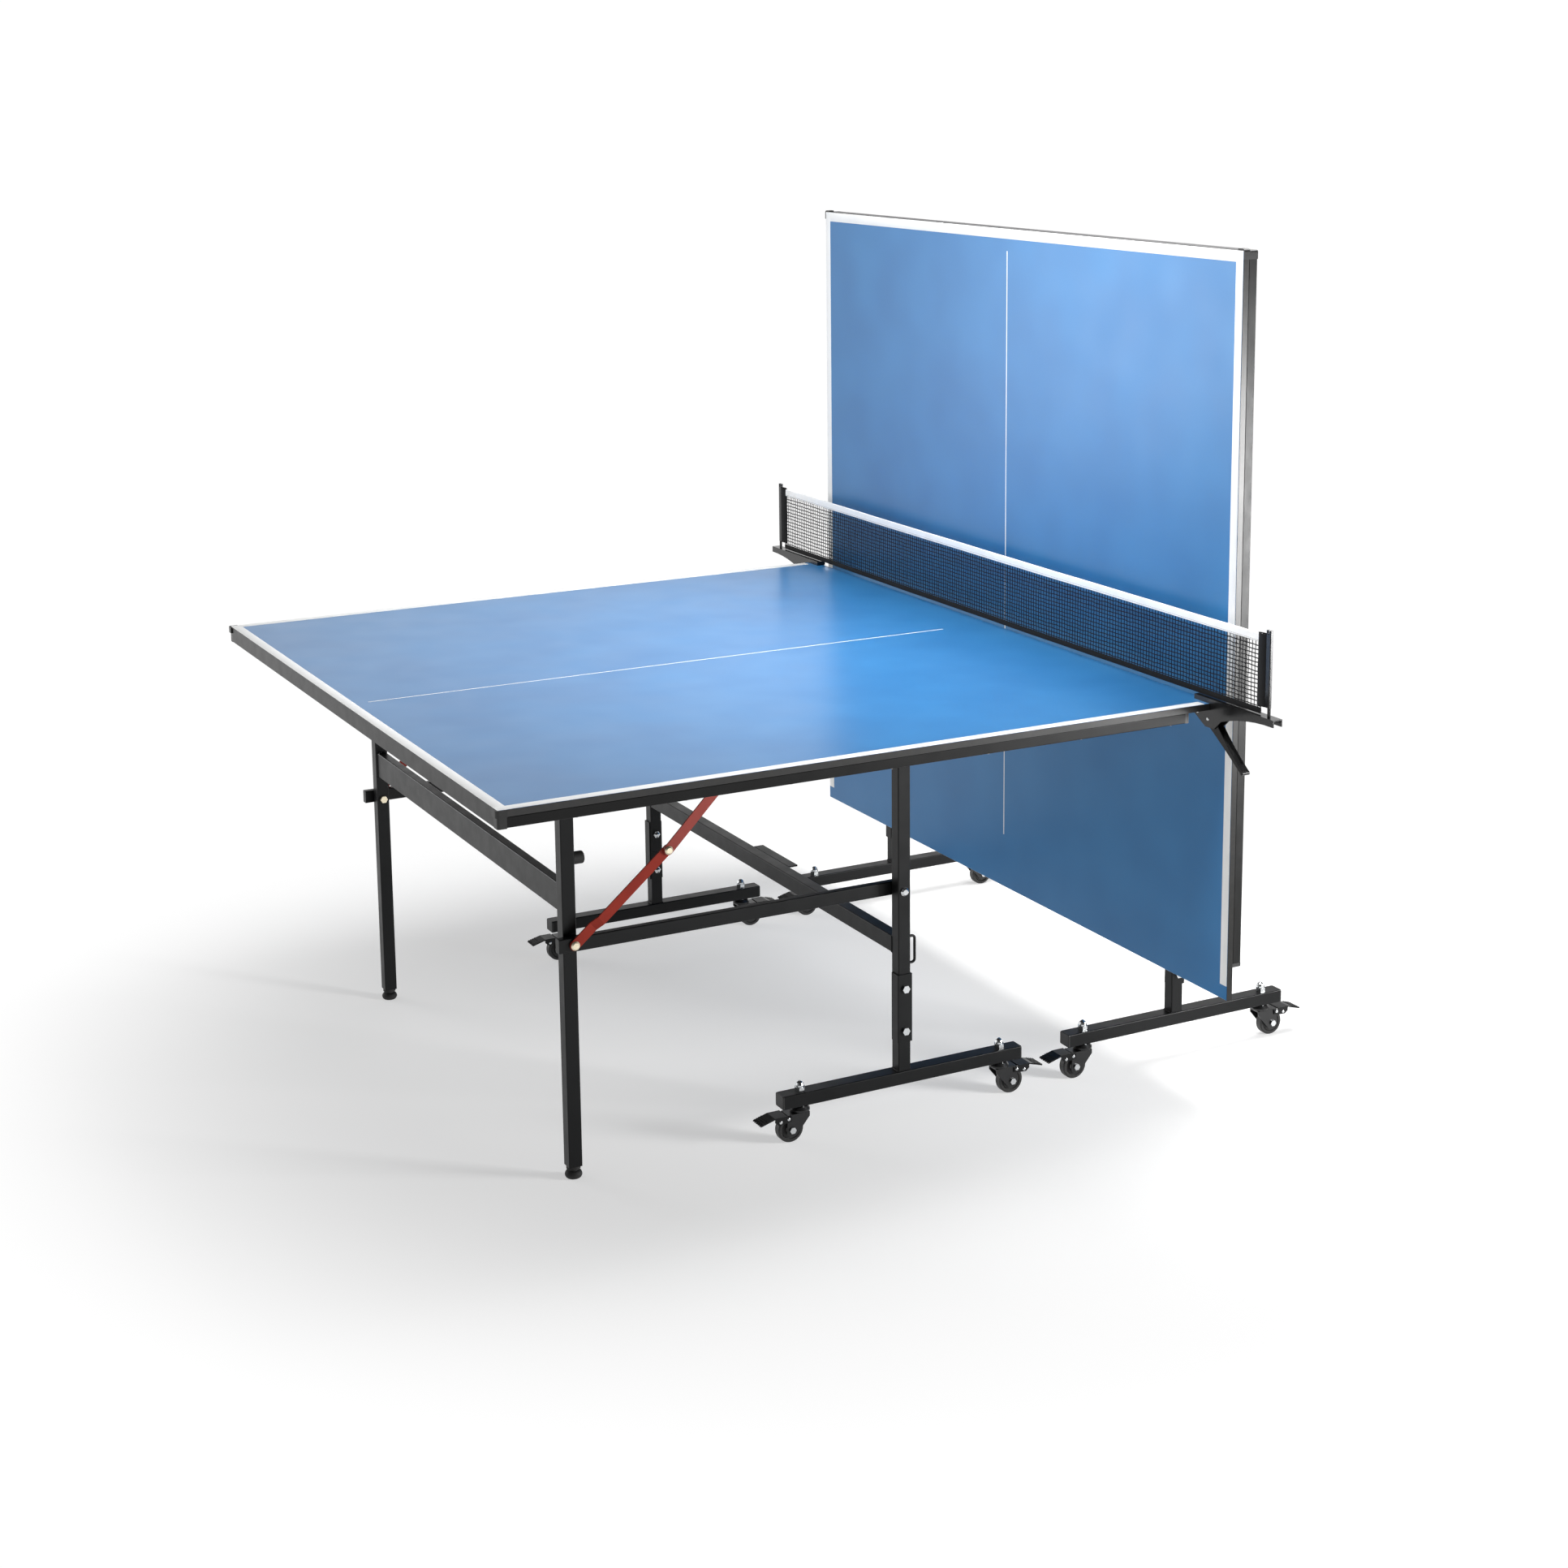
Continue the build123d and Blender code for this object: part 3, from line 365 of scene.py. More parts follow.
def riveted_finish(name, axis, centre, plain_out, paint, plate):
    """Painted part whose rivet heads, further out than plain_out along an axis, are plated.

    paint is the dark tone, the light tone and the lowest roughness of the coat.
    """
    made, tree = material(name)
    place = add(tree, "TexCoord").outputs["Object"]
    along = add(tree, "SeparateXYZ", {"Vector": place}).outputs[axis]
    offset = add(tree, "Math", {0: along, 1: centre}, operation="SUBTRACT").outputs[0]
    out = add(tree, "Math", {0: offset}, operation="ABSOLUTE").outputs[0]
    head = compare(tree, "GREATER_THAN", out, plain_out)
    dark, light, smoothest = paint
    peel_mm = 3
    tone = mixed(tree, varied(tree, place, coat_tone_mm, 0, 1, 4.0), linear(dark),
                 linear(light))
    bump = add(tree, "Bump", {"Height": varied(tree, place, peel_mm, 0, 1), "Strength": 0.3,
                              "Distance": peel_high})
    gloss = varied(tree, place, coat_gloss_mm, smoothest, smoothest + 0.08)
    surface(tree, {"Base Color": mixed(tree, head, tone, linear(plate)), "Metallic": head,
                   "Roughness": gloss, "Normal": bump.outputs["Normal"]})
    return made


head_high = 4.3 * mm        # domed head of the knee rivet
strap_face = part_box("play_upper_stays")[1].y - head_high
stay_riveted = riveted_finish("oxide_red_stay_with_rivet", "Y", 0.0, strap_face + 0.2 * mm,
                              ("#7C1C0E", "#8C2614", 0.38), "#EADFC4")
clamp_head = 1.2 * mm       # flat heads on the cheeks of the clamps
cheek_out = (clamp_high.x - clamp_low.x) / 2 - clamp_head
clamp_riveted = riveted_finish("gloss_black_clamp_with_rivets", "X", net_x,
                               cheek_out + 0.1 * mm, ("#0C0C0D", "#121213", 0.18), "#D3D6D8")
print("stay rivets start", round(strap_face, 4), "m from the middle")

# %% [markdown]
# ## Give every CAD part its finish
#
# A part's name says what it is, so a short table from the end of the name to a
# finish covers both halves of the table.

# %% Assign finishes
finishes = {
    "apron": rail_black, "corner_caps": cap_plastic, "top_brackets": satin_black,
    "top_bolts": bright_zinc, "trolley_frame": satin_black, "t_feet": satin_black,
    "foot_caps": cap_plastic, "trolley_bolts": bright_zinc, "legs": satin_black,
    "leg_feet": foot_rubber, "leg_bumpers": foot_rubber, "leg_bolts": cream_zinc,
    "link_bars": satin_black, "upper_stays": stay_riveted, "lower_stays": stay_red,
    "pedal": fork_black, "net_clamps": clamp_riveted, "net_lever_near": clamp_black,
    "net_lever_far": clamp_black, "net": clamp_black,
}


def paint(node, finish):
    """Puts one finish on a CAD node and leaves its mesh alone."""
    slots = nodes[node].material_slots
    if not slots:
        nodes[node].data.materials.append(finish)
    for slot in slots:
        slot.material = finish


for node in nodes:
    for ending, finish in finishes.items():
        if node.endswith(ending):
            paint(node, finish)
paint("play_board", play_paint)
paint("rebound_board", wall_paint)
casters = [f"{half}_{end}_{side}" for half in ("play", "rebound")
           for end in ("end", "net") for side in ("near", "far")]
for caster in casters:
    axle = joints[caster + "_roll"]["pos_m"]
    paint(caster + "_fork", housing_finish(caster + "_housing_lacquer", axle))
    paint(caster + "_wheel", wheel_finish(caster + "_moulded_wheel", axle))
print("painted", len(nodes), "parts and", len(casters), "casters")

# %% [markdown]
# ## Carrying a profile along a path
#
# Lines, cords, hems and weld beads are all the same idea: one closed outline
# carried along a path. The whole piece is worked out at once as arrays. A point
# is the path point, plus the outline's first number times a sideways direction,
# plus its second number times an upward one. Where the outline runs
# anticlockwise round the path's direction, side x up, the faces point outwards.

# %% Mesh helpers
def link_piece(name, vertices, faces, finish, smooth_angle=35):
    """Makes an object at the origin from arrays of points and faces."""
    mesh = bpy.data.meshes.new(name)
    mesh.from_pydata(vertices.reshape(-1, 3).tolist(), [], faces)
    mesh.polygons.foreach_set("use_smooth", [True] * len(mesh.polygons))
    mesh.set_sharp_from_angle(angle=radians(smooth_angle))
    mesh.materials.append(finish)
    mesh.update()
    piece = bpy.data.objects.new(name, mesh)
    bpy.context.scene.collection.objects.link(piece)
    return piece


def carry(paths, side, up, profile):
    """Closed profile (m, 2) along paths (s, n, 3): path + a * side + b * up.

    Returns points (s, n, m, 3) and faces: a quad for each step of path and
    profile, and one many-sided cap at each end of each path.
    """
    count, steps, corners = paths.shape[0], paths.shape[1], len(profile)
    across = np.broadcast_to(side, paths.shape)[:, :, None, :] * profile[:, 0, None]
    rise = np.broadcast_to(up, paths.shape)[:, :, None, :] * profile[:, 1, None]
    points = paths[:, :, None, :] + across + rise
    index = np.arange(count * steps * corners).reshape(count, steps, corners)
    here, after = index[:, :-1], index[:, 1:]
    quads = np.stack([here, np.roll(here, -1, 2), np.roll(after, -1, 2), after], -1)
    faces = quads.reshape(-1, 4).tolist()
    faces += index[:, 0, ::-1].tolist() + index[:, -1].tolist()
    return points, faces


def joined(parts):
    """Several (points, faces) pairs as one pair."""
    points = [part[0].reshape(-1, 3) for part in parts]
    starts = np.cumsum([0] + [len(block) for block in points])
    faces = [[corner + int(start) for corner in face]
             for start, part in zip(starts, parts) for face in part[1]]
    return np.concatenate(points), faces


def oval(width, height, corners):
    """Closed ellipse outline, anticlockwise."""
    turn = np.arange(corners) / corners * 2 * pi
    return np.stack([np.cos(turn) * width / 2, np.sin(turn) * height / 2], -1)


print("an oval of 6 corners:", oval(2, 1, 6).round(2).tolist())

# %% [markdown]
# ## Court lines
#
# The lines are screen-printed in white paint: 20 mm along the sides and the end,
# 3 mm down the middle. Ink stands slightly proud of the board, so each line is a
# real film with a soft edge instead of a change of colour. It could have been a
# mask in the board's material, but a film keeps its crisp edge in any renderer.

# %% White line paint and the film on each board
def line_paint():
    """Screen-printed white: nearly even, with a faint weave from the screen."""
    made, tree = material("screen_printed_white")
    place = add(tree, "TexCoord").outputs["Object"]
    tone_mm, screen_mm, screen_high = 60, 1.5, 0.05 * mm
    tone = mixed(tree, varied(tree, place, tone_mm, 0, 1), linear("#F2F2F0"),
                 linear("#E9EAEA"))
    weave = varied(tree, place, screen_mm, 0, 1)
    bump = add(tree, "Bump", {"Height": weave, "Strength": 0.2, "Distance": screen_high})
    surface(tree, {"Base Color": tone, "Roughness": 0.45, "Normal": bump.outputs["Normal"]})
    return made


white_ink = line_paint()
film = 0.2 * mm
wide_line = 20.0 * mm
centre_line = 3.0 * mm
line_inset = 0.8 * mm       # keeps clear of the eased outer edge
rail_edge = 2.0 * mm        # top of the end rail, flush with the board and painted too
line_steps = 24             # points along each line
net_margin = 27.0 * mm      # the side lines stop this far from the net edge
centre_start = 45.0 * mm    # the centre line starts this far inside the end edge
centre_stop = 113.0 * mm    # and stops this far from the net edge


def film_outline(width):
    """Cross-section of a paint film: flat, with edges that thin over 0.3 mm."""
    half, ease, lip = width / 2, 0.3 * mm, film * 0.3
    return np.array([(-half, 0), (half, 0), (half, lip), (half - ease, film),
                     (ease - half, film), (-half, lip)])


def court_lines(name, end, net, out, place):
    """Side, centre and end lines; place turns (along, across, up) into space."""
    start, half = end + line_inset, out - line_inset
    middle = half - wide_line / 2
    end_middle = start + wide_line / 2
    along_table, across_table = (0.0, -1.0, 0.0), (1.0, 0.0, 0.0)
    runs = [
        ((start, -middle), (net - net_margin, -middle), wide_line, along_table),
        ((start, middle), (net - net_margin, middle), wide_line, along_table),
        ((end + centre_start, 0), (net - centre_stop, 0), centre_line, along_table),
        ((end_middle, wide_line - half), (end_middle, half - wide_line), wide_line,
         across_table),
    ]
    parts = []
    for first, last, width, sideways in runs:
        path = np.linspace(first, last, line_steps)
        line = np.column_stack([path, np.zeros(line_steps)])[None]
        parts.append(carry(line, sideways, (0.0, 0.0, 1.0), film_outline(width)[::-1]))
    points, faces = joined(parts)
    return link_piece(name, place(points), faces, white_ink)


def on_level_board(points):
    """Along is X and up is Z, from the playing surface."""
    return points + (0.0, 0.0, surface_z)


def on_upright_board(points):
    """Along is -Z, from the top edge down, and up is -X, away from the wall."""
    along, across, rise = points.T
    return np.stack([wall_x - rise, -across, -along], -1)


play_lines = court_lines("play_lines", play_low.x - rail_edge, play_high.x, side_y,
                         on_level_board)
wall_lines = court_lines("rebound_lines", -wall_high.z - rail_edge, -wall_low.z, side_y,
                         on_upright_board)
for lines, body in ((play_lines, "play_top"), (wall_lines, "rebound_top")):
    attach(lines, body)
print("court lines have", len(play_lines.data.polygons), "faces on each half")

# %% [markdown]
# ## The net
#
# The net is knitted polyester cord with meshes of about 9 by 7.5 mm, stretched
# between two posts. It is drawn as real cords, because light passes between them
# and their shadow falls on the wall. Real cord is about 1 mm thick; it is drawn
# coarser so that it shows from here. Two families of cords cross at shared knots.
# A knot's place is a grid point, plus a slow ripple out of the plane, because
# even a tight net is never flat, plus a small seeded scatter from the knitting.

# %% Knots and cords of the net
cell_wide = 9.0 * mm
cell_high = 7.5 * mm
cord_wide = 2.1 * mm
cord_thick = 1.6 * mm
tape_high = 15.0 * mm
hem_high = 11.0 * mm
cord_corners = 4
scatter = 0.4 * mm
net_sag = 1.2 * mm
sleeve_wide = 26.0 * mm
long_wave, short_wave = 11.0, 27.0              # radians per metre along the net
long_high, short_high = 1.1 * mm, 0.7 * mm      # how far each wave leaves the plane
edge_share = 0.35           # what is left of the waves at the tape and the hem
mesh_out = net_high.y - sleeve_wide / 2
mesh_low = net_low.z + hem_high / 2
mesh_high = net_high.z - tape_high / 2
columns = int(2 * mesh_out / cell_wide) + 1
rows = int((mesh_high - mesh_low) / cell_high) + 1


def ripple(y, z):
    """Out-of-plane wave of the net: two slow waves along it, stillest at the edges."""
    height = (z - net_low.z) / (net_high.z - net_low.z)
    belly = np.sin(pi * np.clip(height, 0, 1))
    wave = (np.sin(y * long_wave + 0.6) * long_high
            + np.sin(y * short_wave + 2.0 + 3 * height) * short_high)
    return net_x + wave * (edge_share + (1 - edge_share) * belly)


def hang(y):
    """How far the net sags at a place along it: most in the middle, none at the posts."""
    return net_sag * np.cos(y / mesh_out * pi / 2)


rng = np.random.default_rng(7)
grid_y, grid_z = np.meshgrid(np.linspace(-mesh_out, mesh_out, columns),
                             np.linspace(mesh_low, mesh_high, rows), indexing="ij")
knot_y = grid_y + rng.normal(0, scatter, grid_y.shape)
knot_z = grid_z - hang(grid_y) + rng.normal(0, scatter, grid_y.shape)
knots = np.stack([ripple(grid_y, grid_z), knot_y, knot_z], -1)
print(columns, "upright cords and", rows, "level cords")

# %% [markdown]
# The cord finish follows the cord: black polyester, matt, with the small
# highlights of a braided thread. Half of the cords' whole surface is what a flat
# cloth of that much thread would measure. Here only the cords' total run length is summed.

# %% Weave the cords into one piece
def cord_finish(name, dark, light, roughness, thread_mm):
    """Matt fibre: two tones in thread-sized cells, with sheen from loose fibres."""
    made, tree = material(name)
    place = add(tree, "TexCoord").outputs["Object"]
    thread = varied(tree, place, thread_mm, 0, 1, 2.0)
    thread_high = 0.2 * mm
    bump = add(tree, "Bump", {"Height": thread, "Strength": 0.6, "Distance": thread_high})
    surface(tree, {"Base Color": mixed(tree, thread, linear(dark), linear(light)),
                   "Roughness": roughness, "Sheen Weight": 0.04, "Specular IOR Level": 0.25,
                   "Normal": bump.outputs["Normal"]})
    return made


net_cord = cord_finish("black_polyester_cord", "#060608", "#0F0F12", 0.75, 1.0)
outline = oval(cord_wide, cord_thick, cord_corners)
upright = carry(knots, (0.0, 1.0, 0.0), (-1.0, 0.0, 0.0), outline)
level = carry(knots.transpose(1, 0, 2), (-1.0, 0.0, 0.0), (0.0, 0.0, 1.0),
              oval(cord_thick, cord_wide, cord_corners))
net = link_piece("net_cords", *joined([upright, level]), net_cord, 60)
run_length = sum(np.linalg.norm(np.diff(family, axis=1), axis=-1).sum()
                 for family in (knots, knots.transpose(1, 0, 2)))

# %% [markdown]
# ## Tape, hem and sleeves
#
# The rules ask for a white tape along the top. It is a woven cotton band folded
# over the head cord and stitched. A narrow black hem holds the bottom cord, and a
# black pocket at each end slips over the post. Each is a folded band: its outline
# is worked out as a line with thickness and carried along the net or up the post.

# %% Folded bands
band_steps = 181                # points along the tape and the hem


def band(middle, thickness):
    """Closed outline round an open line: out along one side, back along the other."""
    step = np.gradient(middle, axis=0)
    step /= np.linalg.norm(step, axis=1, keepdims=True)
    normal = np.stack([step[:, 1], -step[:, 0]], -1) * thickness / 2
    return np.concatenate([middle + normal, (middle - normal)[::-1]])


def woven(name, dark, light, thread_mm, stitch_z, stitch_shade_tone):
    """Plain-woven band: crossed threads, and a row of lock stitches at a height, sunk and drawn
    darker as painted shade in their groove.
    """
    made, tree = material(name)
    place = add(tree, "TexCoord").outputs["Object"]
    parts = add(tree, "SeparateXYZ", {"Vector": place})
    turn = 2 * pi / (thread_mm * mm)
    stitch_half, stitch_pitch, stitch_gap = 0.6 * mm, 4.0 * mm, -0.4
    stitch_dip, weave_high, tone_mm = -2.0, 0.12 * mm, 25
    warp = add(tree, "Math", {0: parts.outputs["Y"], 1: turn}, operation="MULTIPLY")
    weft = add(tree, "Math", {0: parts.outputs["Z"], 1: turn}, operation="MULTIPLY")
    over = add(tree, "Math", {0: warp.outputs[0]}, operation="SINE").outputs[0]
    under = add(tree, "Math", {0: weft.outputs[0]}, operation="SINE").outputs[0]
    weave = both(tree, over, under)
    seam = add(tree, "Math", {0: parts.outputs["Z"], 1: stitch_z, 2: stitch_half},
               operation="COMPARE").outputs[0]
    step = add(tree, "Math", {0: parts.outputs["Y"], 1: 2 * pi / stitch_pitch},
               operation="MULTIPLY").outputs[0]
    wave = add(tree, "Math", {0: step}, operation="SINE").outputs[0]
    stitch = both(tree, seam, compare(tree, "GREATER_THAN", wave, stitch_gap))
    tone = mixed(tree, varied(tree, place, tone_mm, 0, 1), linear(dark), linear(light))
    height = add(tree, "Math", {0: stitch, 1: stitch_dip, 2: weave}, operation="MULTIPLY_ADD")
    bump = add(tree, "Bump", {"Height": height.outputs[0], "Strength": 0.5,
                              "Distance": weave_high})
    # the stitch row gets a darker colour: painted shade in its groove
    shaded = mixed(tree, stitch, tone, linear(stitch_shade_tone))
    surface(tree, {"Base Color": shaded, "Roughness": 0.85, "Sheen Weight": 0.04,
                   "Specular IOR Level": 0.25, "Normal": bump.outputs["Normal"]})
    return made


def along_net(z):
    """Path across the table at one height that follows the net's ripple and sag."""
    y = np.linspace(-mesh_out, mesh_out, band_steps)
    return np.stack([ripple(y, np.full_like(y, z)), y, z - hang(y)], -1)[None]


fold = np.linspace(0, pi, 9)
tape_half = 1.3 * mm            # half the thickness of the folded tape
tape_swell = 0.1 * mm           # the sides swell a little half-way down
tape_thick, hem_thick = 0.5 * mm, 2.4 * mm
tape_seam = net_high.z - 13.0 * mm
hem_seam = net_low.z + 6.5 * mm
tape_line = np.concatenate([
    [(tape_half, -tape_high), (tape_half + tape_swell, -tape_high * 0.5)],
    np.stack([np.cos(fold) * tape_half, np.sin(fold) * tape_half - tape_half], -1),
    [(-tape_half - tape_swell, -tape_high * 0.5), (-tape_half, -tape_high)],
])
# the last colour of each band is its stitch row, drawn darker as painted shade in the groove
tape_white = woven("woven_cotton_tape", "#F4F4F2", "#FFFFFF", 1.6, tape_seam, "#B9B9B6")
tape = link_piece("net_tape", *carry(along_net(net_high.z), (1.0, 0.0, 0.0), (0.0, 0.0, 1.0),
                                     band(tape_line, tape_thick)[::-1]), tape_white)
hem_black = woven("black_woven_hem", "#0A0A0B", "#121214", 1.4, hem_seam, "#050505")
hem_outline = oval(hem_thick, hem_high, 12)[::-1]
hem = link_piece("net_hem", *carry(along_net(net_low.z + hem_high / 2), (1.0, 0.0, 0.0),
                                   (0.0, 0.0, 1.0), hem_outline), hem_black)
print("tape and hem are", round(2 * mesh_out, 3), "m long")

# %% [markdown]
# A sleeve is one band wrapped round the post. Seen from above, its line is a long
# loop that is widest at the post and closes on the net, like a drop of water.

# %% Sleeves on the posts
post_inner = net_high.y + 0.5 * mm     # inner edge of a net post
sleeve_lap = 2.0 * mm                  # the pocket covers this much of the post
sleeve_cloth = 0.8 * mm
sleeve_foot = net_low.z + 15.0 * mm    # it stops above the arm of the clamp
sleeve_head = net_high.z + 1.5 * mm    # and stands a little over the tape
sleeve_steps = 22                      # rings from foot to head
open_half = 0.94 * pi                  # the loop stops just short of closing
throat, swelling = 2.0 * mm, 3.6 * mm  # its half width at the net, and more at the post
crease, folds = 0.35 * mm, 5           # depth and number of half waves of the soft folds


def sleeve(side):
    """Drop-shaped pocket: y = centre + a cos t, x = b(t) sin t, with b larger at the post."""
    t = np.linspace(-open_half, open_half, 49)
    reach = sleeve_wide / 2
    bulge = throat + swelling * ((np.cos(t) + 1) / 2) ** 0.7
    centre = post_inner + sleeve_lap - reach
    line = np.stack([bulge * np.sin(t), side * (centre + reach * np.cos(t))], -1)
    heights = np.linspace(sleeve_foot, sleeve_head, sleeve_steps)
    path = np.stack([np.full_like(heights, net_x), np.zeros_like(heights), heights], -1)[None]
    outline = band(line, sleeve_cloth)
    twice_area = np.sum(outline[:, 0] * np.roll(outline[:, 1], -1)
                        - outline[:, 1] * np.roll(outline[:, 0], -1))
    ordered = outline if twice_area > 0 else outline[::-1]
    points, faces = carry(path, (1.0, 0.0, 0.0), (0.0, 1.0, 0.0), ordered)
    # a pocket that is pulled by its net has soft folds, strongest half-way up
    rise = (points[..., 2] - sleeve_foot) / (sleeve_head - sleeve_foot)
    pull = np.sin(rise * folds * pi) * np.sin(rise * pi) * crease
    points[..., 0] += pull * np.sign(points[..., 0] - net_x)
    return points, faces


sleeve_seam = net_high.z - 4.0 * mm
# the last colour, #050505, is painted shade in the stitch groove
sleeve_black = woven("black_woven_sleeve", "#0B0B0C", "#131315", 1.4, sleeve_seam, "#050505")
sleeves = link_piece("net_sleeves", *joined([sleeve(-1), sleeve(1)]), sleeve_black)
for piece in (net, tape, hem, sleeves):
    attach(piece, "play_top")
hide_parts("net")

# %% [markdown]
# ## Rivets
#
# Rivet heads are turned shapes: a low outline spun about the rivet's axis. All
# rivets of one kind share one outline, and each head is a few dozen faces.

# %% Spin an outline into rivet heads
def heads(centres, outward, outline, corners=14):
    """Rings of radius r at height h along Y: centre + r (cos t, 0, sin t) + h outward."""
    turn = np.arange(corners) / corners * 2 * pi
    round_it = np.stack([np.cos(turn), np.zeros(corners), np.sin(turn)], -1)
    radius, height = outline[:, 0, None, None], outline[:, 1, None, None]
    parts = []
    for centre, way in zip(centres, outward):
        rings = np.array(centre) + radius * round_it + height * np.array((0.0, way, 0.0))
        index = np.arange(len(outline) * corners).reshape(len(outline), corners)
        here, after = index[:-1], index[1:]
        quads = np.stack([here, np.roll(here, -1, 1), np.roll(after, -1, 1), after], -1)
        faces = quads.reshape(-1, 4).tolist() + [index[0, ::-1].tolist(), index[-1].tolist()]
        faces = faces if way < 0 else [face[::-1] for face in faces]
        parts.append((rings, faces))
    return joined(parts)


def dome(radius, height):
    """Low crowned outline, from the seat up to a small flat."""
    flat_from = 0.42 * pi
    rise = np.linspace(0, flat_from, 5)
    return np.stack([radius * np.cos(rise), height * np.sin(rise)], -1)


# Two rivets hold each ear of a brake pedal: the fork's own pin, which stays with the
# fork, and a second one that moves with the pedal.
ear_out = 15.8 * mm         # outer face of a pedal ear, from the wheel's middle
pin_out = 15.9 * mm         # end of the fork's pin
ear_step = (16.0 * mm, -3.0 * mm)      # from the pin to the ear's rivet, along X and Z
head_radius, head_crown = 3.2 * mm, 1.3 * mm
small_head = dome(head_radius, head_crown)
for caster in casters:
    stem = np.array(joints[caster + "_swivel"]["pos_m"])
    pin = np.array(joints[caster + "_brake_press"]["pos_m"])
    toward_tip = np.sign(pin[0] - stem[0])
    for label, body, step, out in (("pin_heads", "_caster", (0, 0), pin_out),
                                   ("ear_heads", "_brake", ear_step, ear_out)):
        centre = pin + np.array((toward_tip * step[0], 0.0, step[1]))
        spots = [centre + np.array((0.0, way * out, 0.0)) for way in (-1, 1)]
        rivets = link_piece(f"{caster}_{label}", *heads(spots, (-1, 1), small_head), bright_zinc)
        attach(rivets, caster + body)
print(2 * len(casters), "pairs of pedal rivets")

# %% [markdown]
# ## Weld beads
#
# Where one tube meets another the frame is welded, and the powder coat covers the
# bead. A bead is a row of overlapping drops: a round cord whose thickness swells
# and shrinks every few millimetres. Each straight side of a joint gets one bead.

# %% Beads round the joints of the frame
bead_round = 1.7 * mm
drop_pitch = 3.2 * mm
drop_swell = 0.16           # how much thicker a drop is than the cord
steps_a_drop = 5
tip = 0.35                  # radius at the very end of a bead, as a share of the full one
tip_rise = 12               # how fast the full radius is reached


def bead(first, last):
    """Cord of radius r (1 + swell |sin(pi s / pitch)|) for the distance s along it."""
    first, last = np.array(first), np.array(last)
    length = np.linalg.norm(last - first)
    steps = int(length / (drop_pitch / steps_a_drop)) + 2
    share = np.linspace(0, 1, steps)[:, None]
    path = (first + (last - first) * share)[None]
    way = (last - first) / length
    side = np.array((0.0, 0.0, 1.0)) if abs(way[2]) < 0.5 else np.array((1.0, 0.0, 0.0))
    circle = oval(2 * bead_round, 2 * bead_round, 8)
    points, faces = carry(path, side, np.cross(way, side), circle)
    swell = 1 + drop_swell * np.abs(np.sin(pi * share * length / drop_pitch))
    ends = np.minimum(1.0, tip + tip_rise * np.minimum(share, 1 - share))
    centre = path[:, :, None, :]
    return centre + (points - centre) * (swell * ends)[None, :, None], faces


def seam_round(centre, half_x, half_z, y):
    """Four beads round a tube along Y whose end stands against a face at y."""
    corners = [(-half_x, -half_z), (half_x, -half_z), (half_x, half_z), (-half_x, half_z)]
    spots = [(centre[0] + a, y, centre[1] + b) for a, b in corners]
    return [bead(spots[i], spots[i - 3]) for i in range(4)]


post_half = 12.5 * mm       # half the width of a post
foot_top = 91.0 * mm        # upper face of a foot bar
crossbar_z, crossbar_half = 326.5 * mm, 15.5 * mm
post_y, post_inside = 537.5 * mm, 525.0 * mm
stretcher_drop = 211.0 * mm             # below the pivot of the end legs
stretcher_half = (9.0 * mm, 25.0 * mm)  # half its section along X and Z
leg_inside = 477.5 * mm
for half in ("play", "rebound"):
    fold_x = joints[half + "_fold"]["pos_m"][0]
    swing = joints[half + "_leg_swing"]
    frame_beads, leg_beads = [], []
    for side in (-1, 1):
        for face in (-1, 1):
            x = fold_x + face * post_half
            frame_beads.append(bead((x, side * post_y - post_half, foot_top),
                                    (x, side * post_y + post_half, foot_top)))
        frame_beads += seam_round((fold_x, crossbar_z), post_half, crossbar_half,
                                  side * post_inside)
        leg_beads += seam_round((swing["pos_m"][0], swing["pos_m"][2] - stretcher_drop),
                                *stretcher_half, side * leg_inside)
    for label, beads, body in (("frame_welds", frame_beads, half + "_trolley"),
                               ("leg_welds", leg_beads, swing["child"])):
        welds = link_piece(f"{half}_{label}", *joined(beads), satin_black, 60)
        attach(welds, body)
print(len(frame_beads) + len(leg_beads), "beads on each half")

# %% [markdown]
# ## Floor and light
#
# A product studio uses a white sweep, so the floor runs into the background with
# no edge. Here a wide disc is matt near the table, where shadows fall, and turns
# into plain white further out.

# %% The floor disc
plain_white = 1.02              # brightness at which a surface shows as pure white


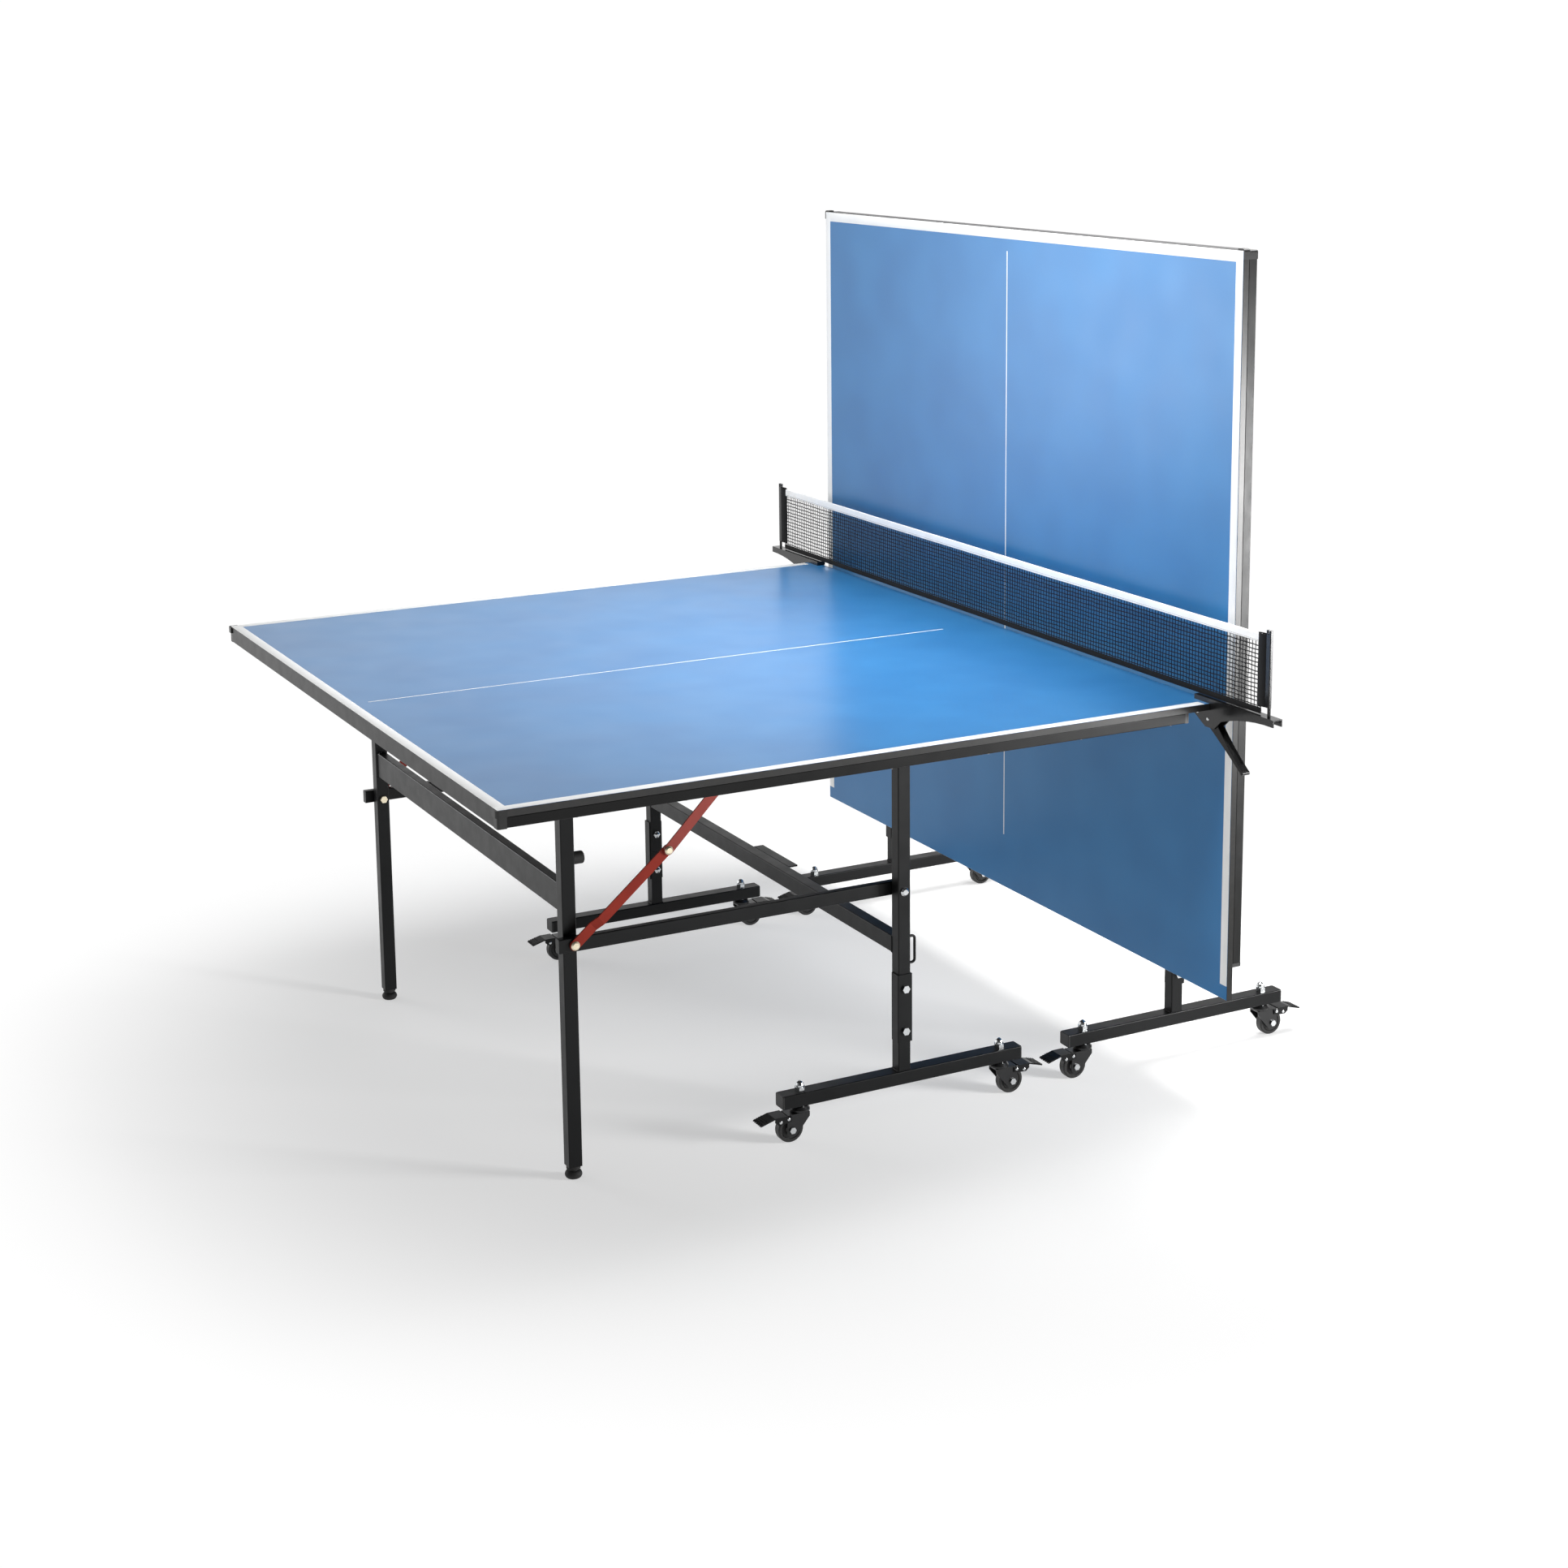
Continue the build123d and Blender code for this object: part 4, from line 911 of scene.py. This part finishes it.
def sweep_floor(radius, plain_from, plain_to):
    """A flat disc of rings whose shader goes from matt to plain white with distance."""
    corners, below_feet = 96, 0.6 * mm
    turn = np.arange(corners) / corners * 2 * pi
    rings = np.array([0.001, 2.0, 6.0, 15.0, radius])
    points = np.stack([rings[:, None] * np.cos(turn), rings[:, None] * np.sin(turn),
                       np.full((len(rings), corners), -below_feet)], -1)
    index = np.arange(len(rings) * corners).reshape(len(rings), corners)
    here, after = index[:-1], index[1:]
    quads = np.stack([here, after, np.roll(after, -1, 1), np.roll(here, -1, 1)], -1)
    faces = quads.reshape(-1, 4).tolist() + [index[0].tolist()]
    made, tree = material("matt_white_studio_floor")
    place = add(tree, "TexCoord").outputs["Object"]
    reach = add(tree, "VectorMath", {0: place}, operation="LENGTH").outputs["Value"]
    far = add(tree, "MapRange", {"Value": reach, "From Min": plain_from, "From Max": plain_to},
              interpolation_type="SMOOTHSTEP").outputs["Result"]
    cloud_mm = 400
    mist = mixed(tree, varied(tree, place, cloud_mm, 0, 1), linear("#CFCFCF"),
                 linear("#D3D3D3"))
    cloth = add(tree, "BsdfDiffuse", {"Color": mist, "Roughness": 0.4})
    glow = add(tree, "Emission", {"Color": linear("#FFFFFF"), "Strength": 0.47})
    matt = add(tree, "AddShader", {0: cloth.outputs[0], 1: glow.outputs[0]})
    white = add(tree, "Emission", {"Color": linear("#FFFFFF"), "Strength": plain_white})
    blend = add(tree, "MixShader", {0: far, 1: matt.outputs[0], 2: white.outputs[0]})
    add(tree, "OutputMaterial", {"Surface": blend.outputs[0]})
    return link_piece("studio_floor", points, faces, made)


floor = sweep_floor(radius=60.0, plain_from=0.8, plain_to=1.75)
print("floor disc", round(floor.dimensions.x), "m across")

# %% [markdown]
# Four soft boxes and the white room light the table. The room is bright behind the
# table and nearly dark in front of it, as where the sweep is lit and the camera
# stands in the dark: it leaves the sides that face the camera deep black.

# %% Room and soft boxes
def soft_box(name, place, aim, size, power, spread):
    """Square area light at a place that faces a point; spread is its cone in degrees."""
    light = bpy.data.lights.new(name, "AREA")
    light.shape, light.size, light.energy = "SQUARE", size, power
    light.spread = radians(spread)
    lamp = bpy.data.objects.new(name, light)
    bpy.context.scene.collection.objects.link(lamp)
    lamp.location = place
    lamp.rotation_euler = (Vector(aim) - Vector(place)).to_track_quat("-Z", "Y").to_euler()
    lamp.visible_camera = False
    return lamp


soft_box("overhead", place=(0.85, -0.1, 2.4), aim=(0.5, 0.0, 0.7), size=1.4, power=48.0,
         spread=120)
soft_box("key", place=(-1.2, -0.9, 2.6), aim=(0.53, -0.35, 1.4), size=0.7, power=5.5,
         spread=60)
soft_box("far_glow", place=(-2.3, 3.1, 1.1), aim=(0.53, -0.4, 1.4), size=1.2, power=13.0,
         spread=120)
soft_box("net_side", place=(1.9, -2.3, 0.8), aim=(0.5, -0.7, 0.62), size=0.7, power=13.0,
         spread=60)


def room(front, back, top):
    """Brightness by direction: from front to back along Y, and one value overhead."""
    world = bpy.data.worlds.new("white_studio")
    bpy.context.scene.world = world
    world.use_nodes = True
    tree = world.node_tree
    tree.nodes.clear()
    way = add(tree, "TexCoord").outputs["Generated"]
    parts = add(tree, "SeparateXYZ", {"Vector": way})
    front_ends, back_starts = -0.6, 0.5     # Y of the direction
    wall_ends, top_starts = 0.26, 0.5       # Z of the direction
    depth = add(tree, "MapRange", {"Value": parts.outputs["Y"], "From Min": front_ends,
                                   "From Max": back_starts, "To Min": front,
                                   "To Max": back},
                interpolation_type="SMOOTHSTEP").outputs["Result"]
    rise = add(tree, "MapRange", {"Value": parts.outputs["Z"], "From Min": wall_ends,
                                  "From Max": top_starts},
               interpolation_type="SMOOTHSTEP")
    level = add(tree, "Mix", {0: rise.outputs["Result"], 2: depth, 3: top}, data_type="FLOAT")
    lit = add(tree, "Background", {"Color": (1, 1, 1, 1), "Strength": level.outputs[0]})
    seen = add(tree, "Background", {"Color": (1, 1, 1, 1), "Strength": plain_white})
    view = add(tree, "LightPath").outputs["Is Camera Ray"]
    either = add(tree, "MixShader", {0: view, 1: lit.outputs[0], 2: seen.outputs[0]})
    add(tree, "OutputWorld", {"Surface": either.outputs[0]})
    return world


room(front=0.01, back=1.2, top=0.14)
bpy.context.scene.view_settings.view_transform = "Standard"
bpy.context.scene.view_settings.look = "None"
print("soft boxes and room are set")
